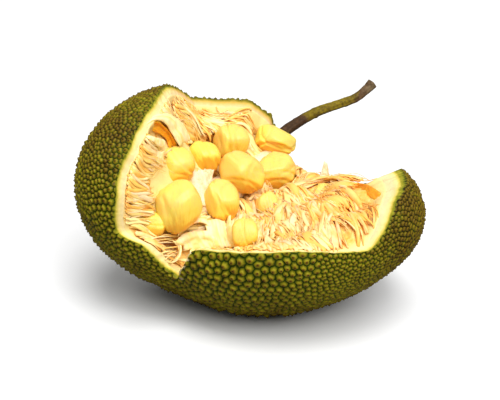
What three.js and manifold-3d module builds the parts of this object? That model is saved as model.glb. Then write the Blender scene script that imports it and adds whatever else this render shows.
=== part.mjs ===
// A jackfruit, cut open along its top and pulled apart, lying on its rind.
// Two rounded lobes share one spiny rind: a tall left lobe whose inside faces right and
// forward, and a low right lobe that the fruit rests on. The opening between them shows the
// rind's cut edge, the fibre bed, the pale core and the golden bulbs; the stem leaves behind.
// Frame: millimetres, +Z up, +X to the right and +Y away from someone who looks into the
// opening. The origin is at the middle of the whole object's footprint.
import * as THREE from "three";
import { mergeVertices } from "three/addons/utils/BufferGeometryUtils.js";
import Module from "manifold-3d";

const wasm = await Module();
wasm.setup();

// ---- Driving dimensions -------------------------------------------------------------------

const HEART = new THREE.Vector3(1, -28, 70); // every knife cut through the rind aims here
const RIND_THICKNESS = 10.5; // skin and pale flesh, on the sides
const END_THICKENING = 9; // added where the rind is thickest, at the right lobe's far end
const LOBE_BLEND = 14; // how softly the two lobes flow into each other
const GAP = 0.4; // clearance between pieces that lie against each other
const SKIN_DETAIL = 8; // how finely the rind's outside is faceted
const INNER_DETAIL = 7; // how finely its inside is

// Each lobe is an ellipsoid: centre, half sizes along its own long axis and across it, and
// that axis's heading (degrees from -Y towards -X), rise above level, and roll about itself.
const LEFT_LOBE = { centre: [-46, 6, 103], half: [150, 98, 98], heading: 31, rise: 17.5, roll: 0 };
const RIGHT_LOBE = { centre: [41, -48, 78], half: [120, 117, 73], heading: -55.5, rise: 19, roll: -6 };

// The opening's edge, seen from the heart: azimuth from +X towards +Y, elevation, and how far
// the fibre bed stands back from the rind's inner edge there.
const RIM = [
  [354, 25, 3], [16, 16, 0], [26, 11, -5], [38, 8, -12], [57, 5, -16], [71, 5, -10], // back
  [75, 10, -4], [79, 21, 6], [80, 31, 10], [90, 41, 16], [104, 37, 16], [119, 39, 9], // stem end
  [156, 57, 4], [180, 59, 3], [202, 54, 2], [211, 47, 2], [217, 39, 2], // left lobe, top
  [218, 32, 2], [219, 23, 2], [217, 12, 2], [224, 9, 4], // left lobe, front
  [226, -2, 6], [231, -9, 10], [241, 5, 8], [243, 10, 3], // the split in front
  [265, 12, 1], [287, 13, 1], [312, 9, 0], [326, 21, 3], // right lobe, front
];

// Points on the fibre bed away from the rind; it is drawn like a stretched skin through these
// and the rim. First the left lobe's face, then the fold, then the right lobe's face.
const BED_POINTS = [
  [-65, -2, 173], [-43, 35, 152], [-79, -15, 157], [-90, -60, 152], [-95, -95, 141],
  [-67, -13, 130], [-45, 18, 127], [-89, -80, 121], [-19, 43, 134], [-33, 0, 106],
  [-72, -70, 106], [-26, -3, 92], [10, 56, 118],
  [-62, -88, 92], [-38, -66, 88], [-8, -34, 89], [20, 15, 92], [36, 60, 92],
  [0, -95, 92], [40, -100, 95], [45, -40, 98], [85, -85, 93], [70, 10, 99], [95, -30, 98],
];
const BED_OUTWARD = [0.5, -0.2, 0.84]; // the way the whole opening faces
const BED_SPAN = 190;
const BED_STEPS = 18;
const BED_BLEND = 14; // how far around a bed point its own height holds

// Hollows in the fibre bed: centre and half sizes.
const HOLLOWS = [
  { at: [-69, -94, 76], half: [11, 16, 13] }, // deep in the split
  { at: [-89, -72, 180], half: [12, 15, 10] }, // where a bulb has dropped out, upper left
  { at: [112, -19, 113], half: [17, 13, 9] }, // around the bulb by the right lobe's far end
];

// Bulbs: centre, length, width, thickness, and which way the long axis runs (root to crown).
const BULBS = [
  { at: [-63, -85, 116], size: [54, 43, 36], crown: [-0.1, 0.25, 1], root: 0.6 }, // front left
  { at: [-25, -48, 105], size: [43, 32, 30], crown: [-0.35, 0.2, 0.9], root: 0.7 },
  { at: [-70, -41, 139], size: [40, 38, 32], crown: [-0.5, 0.35, 0.6], root: 0.8 },
  { at: [-44, -4, 136], size: [38, 31, 28], crown: [-0.5, 0.3, 0.7], root: 0.75 },
  { at: [-19, 30, 141], size: [40, 38, 32], crown: [-0.1, 0.35, 0.9], root: 0.8 },
  { at: [27, 68, 130], size: [47, 33, 32], crown: [0.9, 0.2, -0.25], root: 0.85 },
  { at: [-7, -13, 125], size: [49, 41, 34], crown: [-0.75, 0.1, 0.65], root: 0.8 },
  { at: [29, 30, 107], size: [42, 37, 34], crown: [-0.2, 0.35, 0.9], root: 0.75 },
  { at: [17, -37, 98], size: [36, 22, 22], crown: [-0.35, 0.3, 0.9], root: 0.7 },
  { at: [-6, -104, 94], size: [34, 25, 24], crown: [0.25, 0, 1], root: 0.6 },
  { at: [-88, -91, 102], size: [30, 22, 22], crown: [-0.5, 0.6, 0.6], root: 0.8 },
  { at: [73, -27, 103], size: [28, 22, 20], crown: [-0.5, 0.3, 0.8], root: 0.7 },
  { at: [109, -18, 108], size: [30, 18, 13], crown: [-0.8, 0.5, 0.2], root: 0.9 },
  { at: [-76, -51, 168], size: [26, 24, 14], crown: [0.1, 0.8, 0.5], root: 0.9 },
];

// The pith that the bulbs grow from: both ends and half thicknesses.
const CORE = { front: [-58, -62, 96], back: [30, 76, 113], half: [17, 15] };

// The stem's middle line, from the rind outwards, and its radii from root to cut end.
const STEM_LINE = [
  [32, 104, 110], [36, 119, 121], [54, 128, 132], [73, 134, 141], [92, 140, 146],
  [113, 149, 151], [126, 156, 159], [133, 160, 165],
];
const STEM_RADIUS = { root: 7.5, neck: 5.3, waist: 4.4, end: 5.2 };

// ---- Helpers ------------------------------------------------------------------------------

const vector = (a) => new THREE.Vector3(...a);

// The unit direction with an azimuth from +X towards +Y and an elevation, both in degrees.
function heading(azimuth, elevation) {
  const [a, e] = [azimuth, elevation].map(THREE.MathUtils.degToRad);
  return new THREE.Vector3(Math.cos(a) * Math.cos(e), Math.sin(a) * Math.cos(e), Math.sin(e));
}

// A closed geometry as a solid that can be cut and joined.
function solidOf(geometry) {
  const bare = new THREE.BufferGeometry();
  bare.setAttribute("position", geometry.getAttribute("position"));
  if (geometry.index) bare.setIndex(geometry.index);
  const merged = mergeVertices(bare, 1e-3);
  return new wasm.Manifold(
    new wasm.Mesh({
      numProp: 3,
      vertProperties: new Float32Array(merged.attributes.position.array),
      triVerts: new Uint32Array(merged.index.array),
    }),
  );
}

function geometryOf(solid) {
  const mesh = solid.getMesh();
  const geometry = new THREE.BufferGeometry();
  geometry.setAttribute("position", new THREE.BufferAttribute(mesh.vertProperties, 3));
  geometry.setIndex(new THREE.BufferAttribute(mesh.triVerts, 1));
  geometry.computeVertexNormals();
  return geometry;
}

// Three unit axes of a lobe: its long axis, one level across it, and one more across both.
function lobeAxes({ heading, rise, roll }) {
  const [h, r, t] = [heading, rise, roll].map(THREE.MathUtils.degToRad);
  const long = new THREE.Vector3(
    -Math.sin(h) * Math.cos(r),
    -Math.cos(h) * Math.cos(r),
    Math.sin(r),
  );
  const level = new THREE.Vector3(0, 0, 1).cross(long).normalize();
  const across = new THREE.Vector3().crossVectors(long, level);
  return [
    long,
    level.clone().multiplyScalar(Math.cos(t)).addScaledVector(across, Math.sin(t)),
    across.clone().multiplyScalar(Math.cos(t)).addScaledVector(level, -Math.sin(t)),
  ];
}

const LOBES = [LEFT_LOBE, RIGHT_LOBE].map((lobe) => ({ ...lobe, axes: lobeAxes(lobe) }));

// Distance from the heart to a lobe's surface along a direction, the surface taken in by inset.
function lobeRadius(lobe, direction, inset) {
  const fromCentre = HEART.clone().sub(vector(lobe.centre));
  const o = lobe.axes.map((axis, i) => fromCentre.dot(axis) / (lobe.half[i] - inset));
  const d = lobe.axes.map((axis, i) => direction.dot(axis) / (lobe.half[i] - inset));
  const dot = (a, b) => a[0] * b[0] + a[1] * b[1] + a[2] * b[2];
  const [a, b, c] = [dot(d, d), dot(o, d), dot(o, o) - 1];
  return (-b + Math.sqrt(Math.max(0, b * b - a * c))) / a;
}

// The body's radius: the larger lobe, blended where they are alike.
function bodyRadius(direction, inset = 0) {
  const parts = LOBES.map((lobe) => Math.exp(lobeRadius(lobe, direction, inset) / LOBE_BLEND));
  return LOBE_BLEND * Math.log(parts[0] + parts[1]);
}

// The rind is thicker towards the far end of the right lobe.
const RIND_END = new THREE.Vector3(0.95, 0, 0.3).normalize();
function rindInset(direction) {
  const towardsEnd = Math.max(0, direction.dot(RIND_END));
  return RIND_THICKNESS + END_THICKENING * towardsEnd ** 4;
}

// A closed body around the heart whose radius is a function of direction.
function bodyAroundHeart(radius, detail) {
  const geometry = new THREE.IcosahedronGeometry(1, detail);
  const place = geometry.getAttribute("position");
  for (let i = 0; i < place.count; i++) {
    const direction = new THREE.Vector3().fromBufferAttribute(place, i).normalize();
    place.setXYZ(i, ...direction.multiplyScalar(radius(direction)).add(HEART));
  }
  return solidOf(geometry);
}

// Everything above the level z = height, as a large box.
function above(height) {
  const size = 900;
  const box = new THREE.BoxGeometry(size, size, size);
  box.translate(0, 0, height + size / 2);
  return solidOf(box);
}

// ---- The opening --------------------------------------------------------------------------

// The cone from the heart through the opening's edge. Its sides are the knife cuts.
function openingCone() {
  const reach = 500;
  const corners = RIM.map(([azimuth, elevation]) =>
    heading(azimuth, elevation).multiplyScalar(reach).add(HEART),
  );
  const summit = HEART.clone().add(new THREE.Vector3(0, 0, 2 * reach));
  const triangles = [];
  corners.forEach((corner, i) => {
    const next = corners[(i + 1) % corners.length];
    triangles.push(HEART, next, corner, summit, corner, next);
  });
  return solidOf(new THREE.BufferGeometry().setFromPoints(triangles));
}

// The bed's frame: two directions across the opening and one out of it.
const outward = vector(BED_OUTWARD).normalize();
const sideways = new THREE.Vector3(0, 1, 0).cross(outward).normalize();
const upward = new THREE.Vector3().crossVectors(outward, sideways);
const bedFrame = (point) => {
  const p = point.clone().sub(HEART);
  return new THREE.Vector3(p.dot(sideways), p.dot(upward), p.dot(outward));
};

// Every known point of the bed: along the rind's inner edge, and the ones in between.
function knownBedPoints() {
  const steps = 3;
  const known = BED_POINTS.map((point) => bedFrame(vector(point)));
  RIM.forEach((corner, i) => {
    const next = RIM[(i + 1) % RIM.length];
    const [from, to] = [corner, next].map(([azimuth, elevation]) => heading(azimuth, elevation));
    for (let k = 0; k < steps; k++) {
      const direction = from.clone().lerp(to, k / steps).normalize();
      const back = THREE.MathUtils.lerp(corner[2], next[2], k / steps);
      const edge = direction.clone().multiplyScalar(bodyRadius(direction, rindInset(direction)));
      const point = bedFrame(edge.add(HEART));
      point.z -= back;
      known.push(point);
    }
  });
  return known;
}

// The open space as a solid: a grid stretched over the bed, carried far out of the fruit.
function openSpace() {
  const known = knownBedPoints();
  const onBed = (i, j) => {
    const u = BED_SPAN * (2 * (i / BED_STEPS) - 1);
    const v = BED_SPAN * (2 * (j / BED_STEPS) - 1);
    let sum = 0;
    let total = 0;
    for (const point of known) {
      const distance2 = (point.x - u) ** 2 + (point.y - v) ** 2;
      const weight = 1 / (distance2 + BED_BLEND ** 2) ** 2;
      sum += weight * point.z;
      total += weight;
    }
    return HEART.clone()
      .addScaledVector(sideways, u)
      .addScaledVector(upward, v)
      .addScaledVector(outward, sum / total);
  };
  const rows = BED_STEPS + 1;
  const near = [];
  for (let i = 0; i < rows; i++) {
    for (let j = 0; j < rows; j++) near.push(onBed(i, j));
  }
  const far = near.map((point) => point.clone().addScaledVector(outward, 600));
  const triangles = [];
  const quad = (a, b, c, d) => triangles.push(a, b, c, a, c, d);
  const at = (points, i, j) => points[i * rows + j];
  const last = BED_STEPS;
  for (let i = 0; i < BED_STEPS; i++) {
    for (let j = 0; j < BED_STEPS; j++) {
      quad(at(near, i, j), at(near, i, j + 1), at(near, i + 1, j + 1), at(near, i + 1, j));
      quad(at(far, i, j), at(far, i + 1, j), at(far, i + 1, j + 1), at(far, i, j + 1));
    }
    quad(at(near, i, 0), at(near, i + 1, 0), at(far, i + 1, 0), at(far, i, 0));
    quad(at(near, i + 1, last), at(near, i, last), at(far, i, last), at(far, i + 1, last));
    quad(at(near, 0, i + 1), at(near, 0, i), at(far, 0, i), at(far, 0, i + 1));
    quad(at(near, last, i), at(near, last, i + 1), at(far, last, i + 1), at(far, last, i));
  }
  return solidOf(new THREE.BufferGeometry().setFromPoints(triangles));
}

function ellipsoid({ at, half }) {
  const geometry = new THREE.IcosahedronGeometry(1, 2);
  geometry.scale(...half).translate(...at);
  return solidOf(geometry);
}

// ---- Pieces -------------------------------------------------------------------------------

// A bulb: an egg whose root end narrows, turned to its place. grow swells it for its socket.
function bulbGeometry({ at, size, crown, root }, grow = 0) {
  const steps = 8;
  const around = 10;
  const profile = [];
  for (let i = 0; i <= steps; i++) {
    const angle = (Math.PI * i) / steps;
    const along = -Math.cos(angle);
    const narrowing = THREE.MathUtils.lerp(root, 1, THREE.MathUtils.smoothstep(along, -1, 0.3));
    const out = i === 0 || i === steps ? 0 : Math.sin(angle) * narrowing;
    profile.push(new THREE.Vector2(out, along));
  }
  const geometry = new THREE.LatheGeometry(profile, around);
  const [length, width, thickness] = size.map((s) => s / 2 + grow);
  geometry.scale(width, length, thickness);
  const turn = new THREE.Quaternion().setFromUnitVectors(
    new THREE.Vector3(0, 1, 0),
    vector(crown).normalize(),
  );
  geometry.applyQuaternion(turn);
  return geometry.translate(...at);
}

// The core: a rounded spindle lying along the fruit's length.
function coreGeometry(grow = 0) {
  const [front, back] = [vector(CORE.front), vector(CORE.back)];
  const geometry = new THREE.IcosahedronGeometry(1, 3);
  const long = front.distanceTo(back) / 2;
  geometry.scale(CORE.half[0] + grow, long + grow, CORE.half[1] + grow);
  geometry.applyQuaternion(
    new THREE.Quaternion().setFromUnitVectors(
      new THREE.Vector3(0, 1, 0),
      back.clone().sub(front).normalize(),
    ),
  );
  return geometry.translate(...front.lerp(back, 0.5).toArray());
}

// The stem: a round section carried along its bent line, stout at the root, flared at the cut.
function stemGeometry() {
  const steps = 14;
  const around = 9;
  const line = new THREE.CatmullRomCurve3(STEM_LINE.map(vector));
  const section = new THREE.Shape().absarc(0, 0, 1, 0, 2 * Math.PI);
  const geometry = new THREE.ExtrudeGeometry(section, {
    steps,
    curveSegments: around,
    extrudePath: line,
  });
  const place = geometry.getAttribute("position");
  const middles = Array.from({ length: steps + 1 }, (_, i) => line.getPointAt(i / steps));
  for (let i = 0; i < place.count; i++) {
    const point = new THREE.Vector3().fromBufferAttribute(place, i);
    let nearest = 0;
    middles.forEach((middle, k) => {
      if (middle.distanceTo(point) < middles[nearest].distanceTo(point)) nearest = k;
    });
    const along = nearest / steps;
    const { root, neck, waist, end } = STEM_RADIUS;
    const slim = THREE.MathUtils.lerp(neck, waist, THREE.MathUtils.smoothstep(along, 0.2, 0.7));
    const stout = (root - neck) * (1 - THREE.MathUtils.smoothstep(along, 0, 0.15));
    const flare = (end - waist) * THREE.MathUtils.smoothstep(along, 0.85, 1);
    point.sub(middles[nearest]).multiplyScalar(slim + stout + flare).add(middles[nearest]);
    place.setXYZ(i, point.x, point.y, point.z);
  }
  return geometry;
}

// ---- Assembly -----------------------------------------------------------------------------

const finish = (color, roughness) =>
  new THREE.MeshStandardMaterial({ color, roughness, metalness: 0 });
const materials = {
  rind: finish(0x6b7a22, 0.75),
  fibre: finish(0xf3d793, 0.6),
  pith: finish(0xf2e2c4, 0.65),
  bulb: finish(0xf6c23c, 0.4),
  stem: finish(0x5d5530, 0.8),
};

const fruit = new THREE.Group();
function add(name, solid, material) {
  const mesh = new THREE.Mesh(geometryOf(solid), material);
  mesh.name = name;
  fruit.add(mesh);
}

const resting = above(0);
const insideAt = (gap) =>
  bodyAroundHeart((d) => bodyRadius(d, rindInset(d) + gap), INNER_DETAIL);

const rind = bodyAroundHeart((d) => bodyRadius(d), SKIN_DETAIL)
  .subtract(insideAt(0))
  .subtract(openingCone())
  .intersect(resting);
add("rind", rind, materials.rind);

let bed = insideAt(GAP).subtract(openSpace());
for (const hollow of HOLLOWS) bed = bed.subtract(ellipsoid(hollow));
let core = solidOf(coreGeometry());
bed = bed.subtract(solidOf(coreGeometry(GAP)));
for (const bulb of BULBS) {
  const socket = solidOf(bulbGeometry(bulb, GAP));
  bed = bed.subtract(socket);
  core = core.subtract(socket);
}
add("fibre_bed", bed, materials.fibre);
add("core", core, materials.pith);

BULBS.forEach((bulb, i) => {
  const name = `bulb_${String(i + 1).padStart(2, "0")}`;
  add(name, solidOf(bulbGeometry(bulb)), materials.bulb);
});

const clearOfSkin = bodyAroundHeart((d) => bodyRadius(d) + GAP, SKIN_DETAIL);
add("stem", solidOf(stemGeometry()).subtract(clearOfSkin), materials.stem);

export default fruit;
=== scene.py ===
"""Dresses a packed jackfruit that was cut open: a coned rind, a shaggy bed of fibre, golden bulbs,
a pith core and a stem, each a surface worked out from a formula."""

import math

import bpy
import numpy as np
from bpy.props import FloatProperty, FloatVectorProperty, IntProperty, PointerProperty
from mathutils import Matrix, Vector
from mathutils.geometry import delaunay_2d_cdt


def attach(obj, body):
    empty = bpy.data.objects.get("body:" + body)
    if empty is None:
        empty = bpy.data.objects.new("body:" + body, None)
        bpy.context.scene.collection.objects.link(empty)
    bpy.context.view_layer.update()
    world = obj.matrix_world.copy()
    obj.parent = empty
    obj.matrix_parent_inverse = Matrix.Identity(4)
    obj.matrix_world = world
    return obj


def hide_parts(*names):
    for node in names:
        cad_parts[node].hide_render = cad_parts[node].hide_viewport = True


bl_info = {
    "name": "Opened jackfruit",
    "version": (1, 0, 0),
    "blender": (4, 5, 0),
    "location": "3D View > Sidebar > Jackfruit",
    "description": "Dresses the packed jackfruit: rind, fibre, golden bulbs, pith and stem",
    "category": "Add Mesh",
}

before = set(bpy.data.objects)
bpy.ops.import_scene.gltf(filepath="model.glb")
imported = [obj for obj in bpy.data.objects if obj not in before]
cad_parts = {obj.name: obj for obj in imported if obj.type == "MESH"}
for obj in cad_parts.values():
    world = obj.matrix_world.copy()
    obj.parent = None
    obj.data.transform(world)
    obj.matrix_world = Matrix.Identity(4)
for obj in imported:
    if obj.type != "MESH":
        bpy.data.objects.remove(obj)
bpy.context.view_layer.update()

# Shapes are worked out in millimetres and put into meshes in metres.
MM = 0.001

# ---- The fruit's shape, as the frame's solids have it ----

HEART = np.array([1.0, -28.0, 70.0])  # every knife cut through the rind aims here
LOBE_BLEND = 14.0  # higher makes the waist between the lobes fuller
LEFT_LOBE = {"centre": (-46, 6, 103), "half": (150, 98, 98),
             "heading": 31, "rise": 17.5, "roll": 0}
RIGHT_LOBE = {"centre": (41, -48, 78), "half": (120, 117, 73),
              "heading": -55.5, "rise": 19, "roll": -6}
RIND_THICKNESS = 10.5
END_THICKENING = 9.0
RIND_END = (0.95, 0.0, 0.3)  # towards the right lobe's far end, where the rind is thickest
END_SWELLING = 3.4  # only on the skin, the solids don't have it
SWELLING_WAY = (0.93, -0.1, 0.35)  # towards the right lobe's upper end, where the skin swells

# The opening's edge seen from the heart: azimuth, elevation, and how far the bed stands back.
RIM = [
    (354, 25, 3), (16, 16, 0), (26, 11, -5), (38, 8, -12), (57, 5, -16), (71, 5, -10),
    (75, 10, -4), (79, 21, 6), (80, 31, 10), (90, 41, 16), (104, 37, 16), (119, 39, 9),
    (156, 57, 4), (180, 59, 3), (202, 54, 2), (211, 47, 2), (217, 39, 2),
    (218, 32, 2), (219, 23, 2), (217, 12, 2), (224, 9, 4),
    (226, -2, 6), (231, -9, 10), (241, 5, 8), (243, 10, 3),
    (265, 12, 1), (287, 13, 1), (312, 9, 0), (326, 21, 3),
]
SPLIT_CORNERS = (20, 24)  # between these corners the rind was torn, not cut
RIM_STEP = 0.8  # degrees between points along the edge
TORN_WAVER, CUT_WAVER = 0.016, 0.006  # how far the edge wavers, in radians
RIM_REACH = 100.0  # about how far the rim is from the heart
WALL_DEPTH = 20.0  # the depth mark of flesh on the rind's inner wall

# Points on the fibre bed away from the rind.
BED_POINTS = [
    (-65, -2, 173), (-43, 35, 152), (-79, -15, 157), (-90, -60, 152), (-95, -95, 141),
    (-67, -13, 130), (-45, 18, 127), (-89, -80, 121), (-19, 43, 134), (-33, 0, 106),
    (-72, -70, 106), (-26, -3, 92), (10, 56, 118),
    (-62, -88, 92), (-38, -66, 88), (-8, -34, 89), (20, 15, 92), (36, 60, 92),
    (0, -95, 92), (40, -100, 95), (45, -40, 98), (85, -85, 93), (70, 10, 99), (95, -30, 98),
]
BED_OUTWARD = (0.5, -0.2, 0.84)
BED_BLEND = 14.0  # higher makes the bed smoother between its points

# Deep hollows in the bed at the split, the hood and the slit: middles and half sizes.
HOLLOWS = [
    ((-69, -94, 76), (11, 16, 13)),
    ((-89, -72, 180), (12, 15, 10)),
    ((112, -19, 113), (17, 13, 9)),
]

# Pockets among the strands, dented into the bed and darkened orange with painted shade: places and
# radii.
POCKETS = [
    ((32, -27, 101), 4.0), ((39, -32, 102), 4.5), ((60, -76, 104), 5.5), ((66, -92, 102), 3.0),
    ((51, -87, 97), 3.5), ((68, -102, 101), 3.5), ((16, -79, 89), 4.5), ((19, -99, 89), 5.5),
    ((33, -104, 95), 3.5), ((36, -114, 92), 4.0), ((87, -72, 112), 3.0), ((85, -125, 104), 4.5),
    ((76, -130, 101), 3.0), ((108, -89, 110), 4.0),
    ((-103, -66, 118), 5.0), ((-98, -74, 128), 4.0), ((-74, -88, 76), 14.0),
    ((-48, 23, 146), 4.0), ((103, -36, 115), 8.0), ((108, -56, 120), 8.0),
    ((113, -74, 121), 8.0), ((-84, -66, 178), 10.0), ((-91, -76, 183), 5.0),
]
# No strand passes within these distances of these places.
CLEARINGS = [
    ((102, -30, 115), 7.0), ((106, -44, 121), 8.0), ((109, -58, 125), 8.5),
    ((113, -72, 125), 8.5), ((118, -84, 122), 8.0), ((-80, -60, 182), 9.0),
    ((-88, -76, 184), 7.0), ((-70, -52, 168), 8.0), ((98, -70, 127), 8.0),
    ((103, -66, 127), 8.0), ((101, -78, 124), 6.0), ((-67, -96, 76), 7.0), ((-64, -112, 77), 8.0),
    ((-62, -128, 79), 8.0), ((-50, -84, 80), 8.0), ((-38, -82, 79), 8.0), ((-28, -86, 80), 7.0),
]

# The core's two ends and its half thicknesses.
CORE_FRONT = np.array([-58.0, -62.0, 96.0])
CORE_BACK = np.array([30.0, 76.0, 113.0])
CORE_HALF = (17.0, 15.0)

# The stem's middle line, from its root to its cut end.
STEM_LINE = [
    (32, 104, 110), (36, 119, 121), (54, 128, 132), (73, 134, 141), (92, 140, 146),
    (113, 149, 151), (126, 156, 159), (133, 160, 165),
]

VIEW_TILT = 20.0  # degrees that the front view looks down


# ---- Plain geometry ----

def unit(vectors):
    """Vectors scaled to length one."""
    vectors = np.asarray(vectors, dtype=float)
    return vectors / np.linalg.norm(vectors, axis=-1, keepdims=True)


def heading(azimuth, elevation):
    """The unit direction with an azimuth from +X towards +Y and an elevation, in degrees."""
    a, e = np.radians(azimuth), np.radians(elevation)
    return np.stack([np.cos(a) * np.cos(e), np.sin(a) * np.cos(e), np.sin(e)], axis=-1)


def smoothstep(low, high, x):
    """0 below low, 1 above high, and 3t^2 - 2t^3 between."""
    t = np.clip((x - low) / (high - low), 0, 1)
    return t * t * (3 - 2 * t)


def lattice_random(cells, seed):
    """A repeatable number from -1 to 1 for each whole-number cell: its coordinates, mixed."""
    mixed = cells[..., 0] * 73856093 ^ cells[..., 1] * 19349663 ^ cells[..., 2] * 83492791
    mixed = (mixed + seed * 2654435761) & 0xFFFFFFFF
    mixed = ((mixed ^ (mixed >> 15)) * 2246822519) & 0xFFFFFFFF
    mixed = ((mixed ^ (mixed >> 13)) * 3266489917) & 0xFFFFFFFF
    return (mixed ^ (mixed >> 16)) / 2147483647.5 - 1


def noise(points, cell, seed):
    """Smooth noise from -1 to 1: random values at the corners of cubes of this size, blended
    by the smoothstep of each coordinate."""
    scaled = np.asarray(points, dtype=float) / cell
    base = np.floor(scaled).astype(np.int64)
    part = scaled - base
    part = part * part * (3 - 2 * part)
    total = np.zeros(scaled.shape[:-1])
    for corner in np.ndindex(2, 2, 2):
        weight = np.prod(np.where(corner, part, 1 - part), axis=-1)
        total += weight * lattice_random(base + np.array(corner), seed)
    return total


def grid_faces(rows, columns, wrap=True):
    """Quads of a grid of points stored row by row; wrap joins the last column to the first."""
    spans = columns if wrap else columns - 1
    i, j = np.meshgrid(np.arange(rows - 1), np.arange(spans), indexing="ij")
    k = (j + 1) % columns
    quads = [i * columns + j, i * columns + k, (i + 1) * columns + k, (i + 1) * columns + j]
    return np.stack(quads, axis=-1).reshape(-1, 4)


def cap_faces(ring, pole, outward=True):
    """Triangles from a ring of point numbers to one pole."""
    following = np.roll(ring, -1)
    first, second = (following, ring) if outward else (ring, following)
    return np.stack([first, second, np.full_like(ring, pole)], axis=-1)


def globe(rows, columns):
    """Angles of a globe's points, from its root pole and round its axis, and their height along
    the axis, from -1 to 1. The poles themselves aren't among them."""
    fall = np.linspace(0, math.pi, rows)[1:-1, None]
    turn = np.linspace(0, 2 * math.pi, columns, endpoint=False)[None]
    return fall, turn, -np.cos(fall) * np.ones_like(turn)


def globe_faces(rows, columns, turned):
    """Faces of a globe's rings, with a cap at each pole; the two poles come after the rings."""
    ring = np.arange(columns)
    count = (rows - 2) * columns
    quads = grid_faces(rows - 2, columns)
    return [quads[:, ::-1] if turned else quads, cap_faces(ring, count, not turned),
            cap_faces(ring + count - columns, count + 1, turned)]


def across(directions):
    """Two unit vectors at right angles to each direction and to each other."""
    helper = np.where(np.abs(directions[..., 2:3]) < 0.9, (0.0, 0.0, 1.0), (1.0, 0.0, 0.0))
    first = unit(np.cross(helper, directions))
    return first, np.cross(directions, first)


def smooth_path(points, count):
    """A Catmull-Rom curve through the points, sampled count times at even lengths."""
    points = np.asarray(points, dtype=float)
    p = np.array([2 * points[0] - points[1], *points, 2 * points[-1] - points[-2]])
    steps = 24
    t = np.linspace(0, 1, steps, endpoint=False)[:, None]
    runs = []
    for k in range(len(points) - 1):
        a, b, c, d = p[k:k + 4]
        runs.append(0.5 * (2 * b + (c - a) * t + (2 * a - 5 * b + 4 * c - d) * t ** 2
                           + (3 * b - a - 3 * c + d) * t ** 3))
    fine = np.concatenate([*runs, points[-1:]])
    length = np.concatenate([[0], np.cumsum(np.linalg.norm(np.diff(fine, axis=0), axis=1))])
    even = np.linspace(0, length[-1], count)
    return np.stack([np.interp(even, length, fine[:, k]) for k in range(3)], axis=-1)


# ---- The two-lobed body ----

def lobe_axes(lobe):
    """A lobe's long axis, one level across it, and one across both, from its three angles."""
    h, r, t = (math.radians(lobe[key]) for key in ("heading", "rise", "roll"))
    long = np.array([-math.sin(h) * math.cos(r), -math.cos(h) * math.cos(r), math.sin(r)])
    level = unit(np.cross((0, 0, 1), long))
    up = np.cross(long, level)
    return np.stack([
        long,
        level * math.cos(t) + up * math.sin(t),
        up * math.cos(t) - level * math.sin(t),
    ])


LOBES = [
    {"centre": np.array(lobe["centre"], float), "half": np.array(lobe["half"], float),
     "axes": lobe_axes(lobe)}
    for lobe in (LEFT_LOBE, RIGHT_LOBE)
]


def body_radius(directions, inset=0.0):
    """Distance from the heart to the skin: the larger of two ellipsoids' radii, blended by the
    logarithm of the sum of exponentials. inset takes each ellipsoid's half sizes in."""
    inset = np.broadcast_to(np.asarray(inset, float), directions.shape[:-1])[..., None]
    total = 0
    for lobe in LOBES:
        half = lobe["half"] - inset
        start = (lobe["axes"] @ (HEART - lobe["centre"])) / half
        step = (directions @ lobe["axes"].T) / half
        a = (step ** 2).sum(-1)
        b = (step * start).sum(-1)
        c = (start ** 2).sum(-1) - 1
        radius = (-b + np.sqrt(np.maximum(b * b - a * c, 0))) / a
        total = total + np.exp(radius / LOBE_BLEND)
    return LOBE_BLEND * np.log(total)


def rind_inset(directions):
    """The rind's thickness, growing with the fourth power of nearness to its thick end."""
    towards = np.maximum(0, directions @ unit(RIND_END))
    return RIND_THICKNESS + END_THICKENING * towards ** 4


def skin_points(directions):
    """The smooth skin under the cones, in these directions from the heart."""
    return HEART + directions * body_radius(directions)[..., None]


def skin_normals(directions):
    """The skin's outward normals, from the difference of nearby skin points."""
    u, v = across(directions)
    small = 1e-3
    along_u = skin_points(unit(directions + small * u)) - skin_points(unit(directions - small * u))
    along_v = skin_points(unit(directions + small * v)) - skin_points(unit(directions - small * v))
    return unit(np.cross(along_u, along_v))


# ---- The opening, on a chart of directions around its middle ----

OUTWARD = unit(BED_OUTWARD)
SIDEWAYS = unit(np.cross((0, 1, 0), OUTWARD))
UPWARD = np.cross(OUTWARD, SIDEWAYS)


def to_chart(directions):
    """Directions as flat points: the angle from the outward axis, laid off along its bearing."""
    angle = np.arccos(np.clip(directions @ OUTWARD, -1, 1))
    flat = np.stack([directions @ SIDEWAYS, directions @ UPWARD], axis=-1)
    return flat / np.maximum(np.linalg.norm(flat, axis=-1, keepdims=True), 1e-9) * angle[..., None]


def from_chart(flat):
    """The directions that flat chart points stand for."""
    angle = np.linalg.norm(flat, axis=-1, keepdims=True)
    bearing = flat / np.maximum(angle, 1e-9)
    level = bearing[..., :1] * SIDEWAYS + bearing[..., 1:] * UPWARD
    return np.cos(angle) * OUTWARD + np.sin(angle) * level


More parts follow.
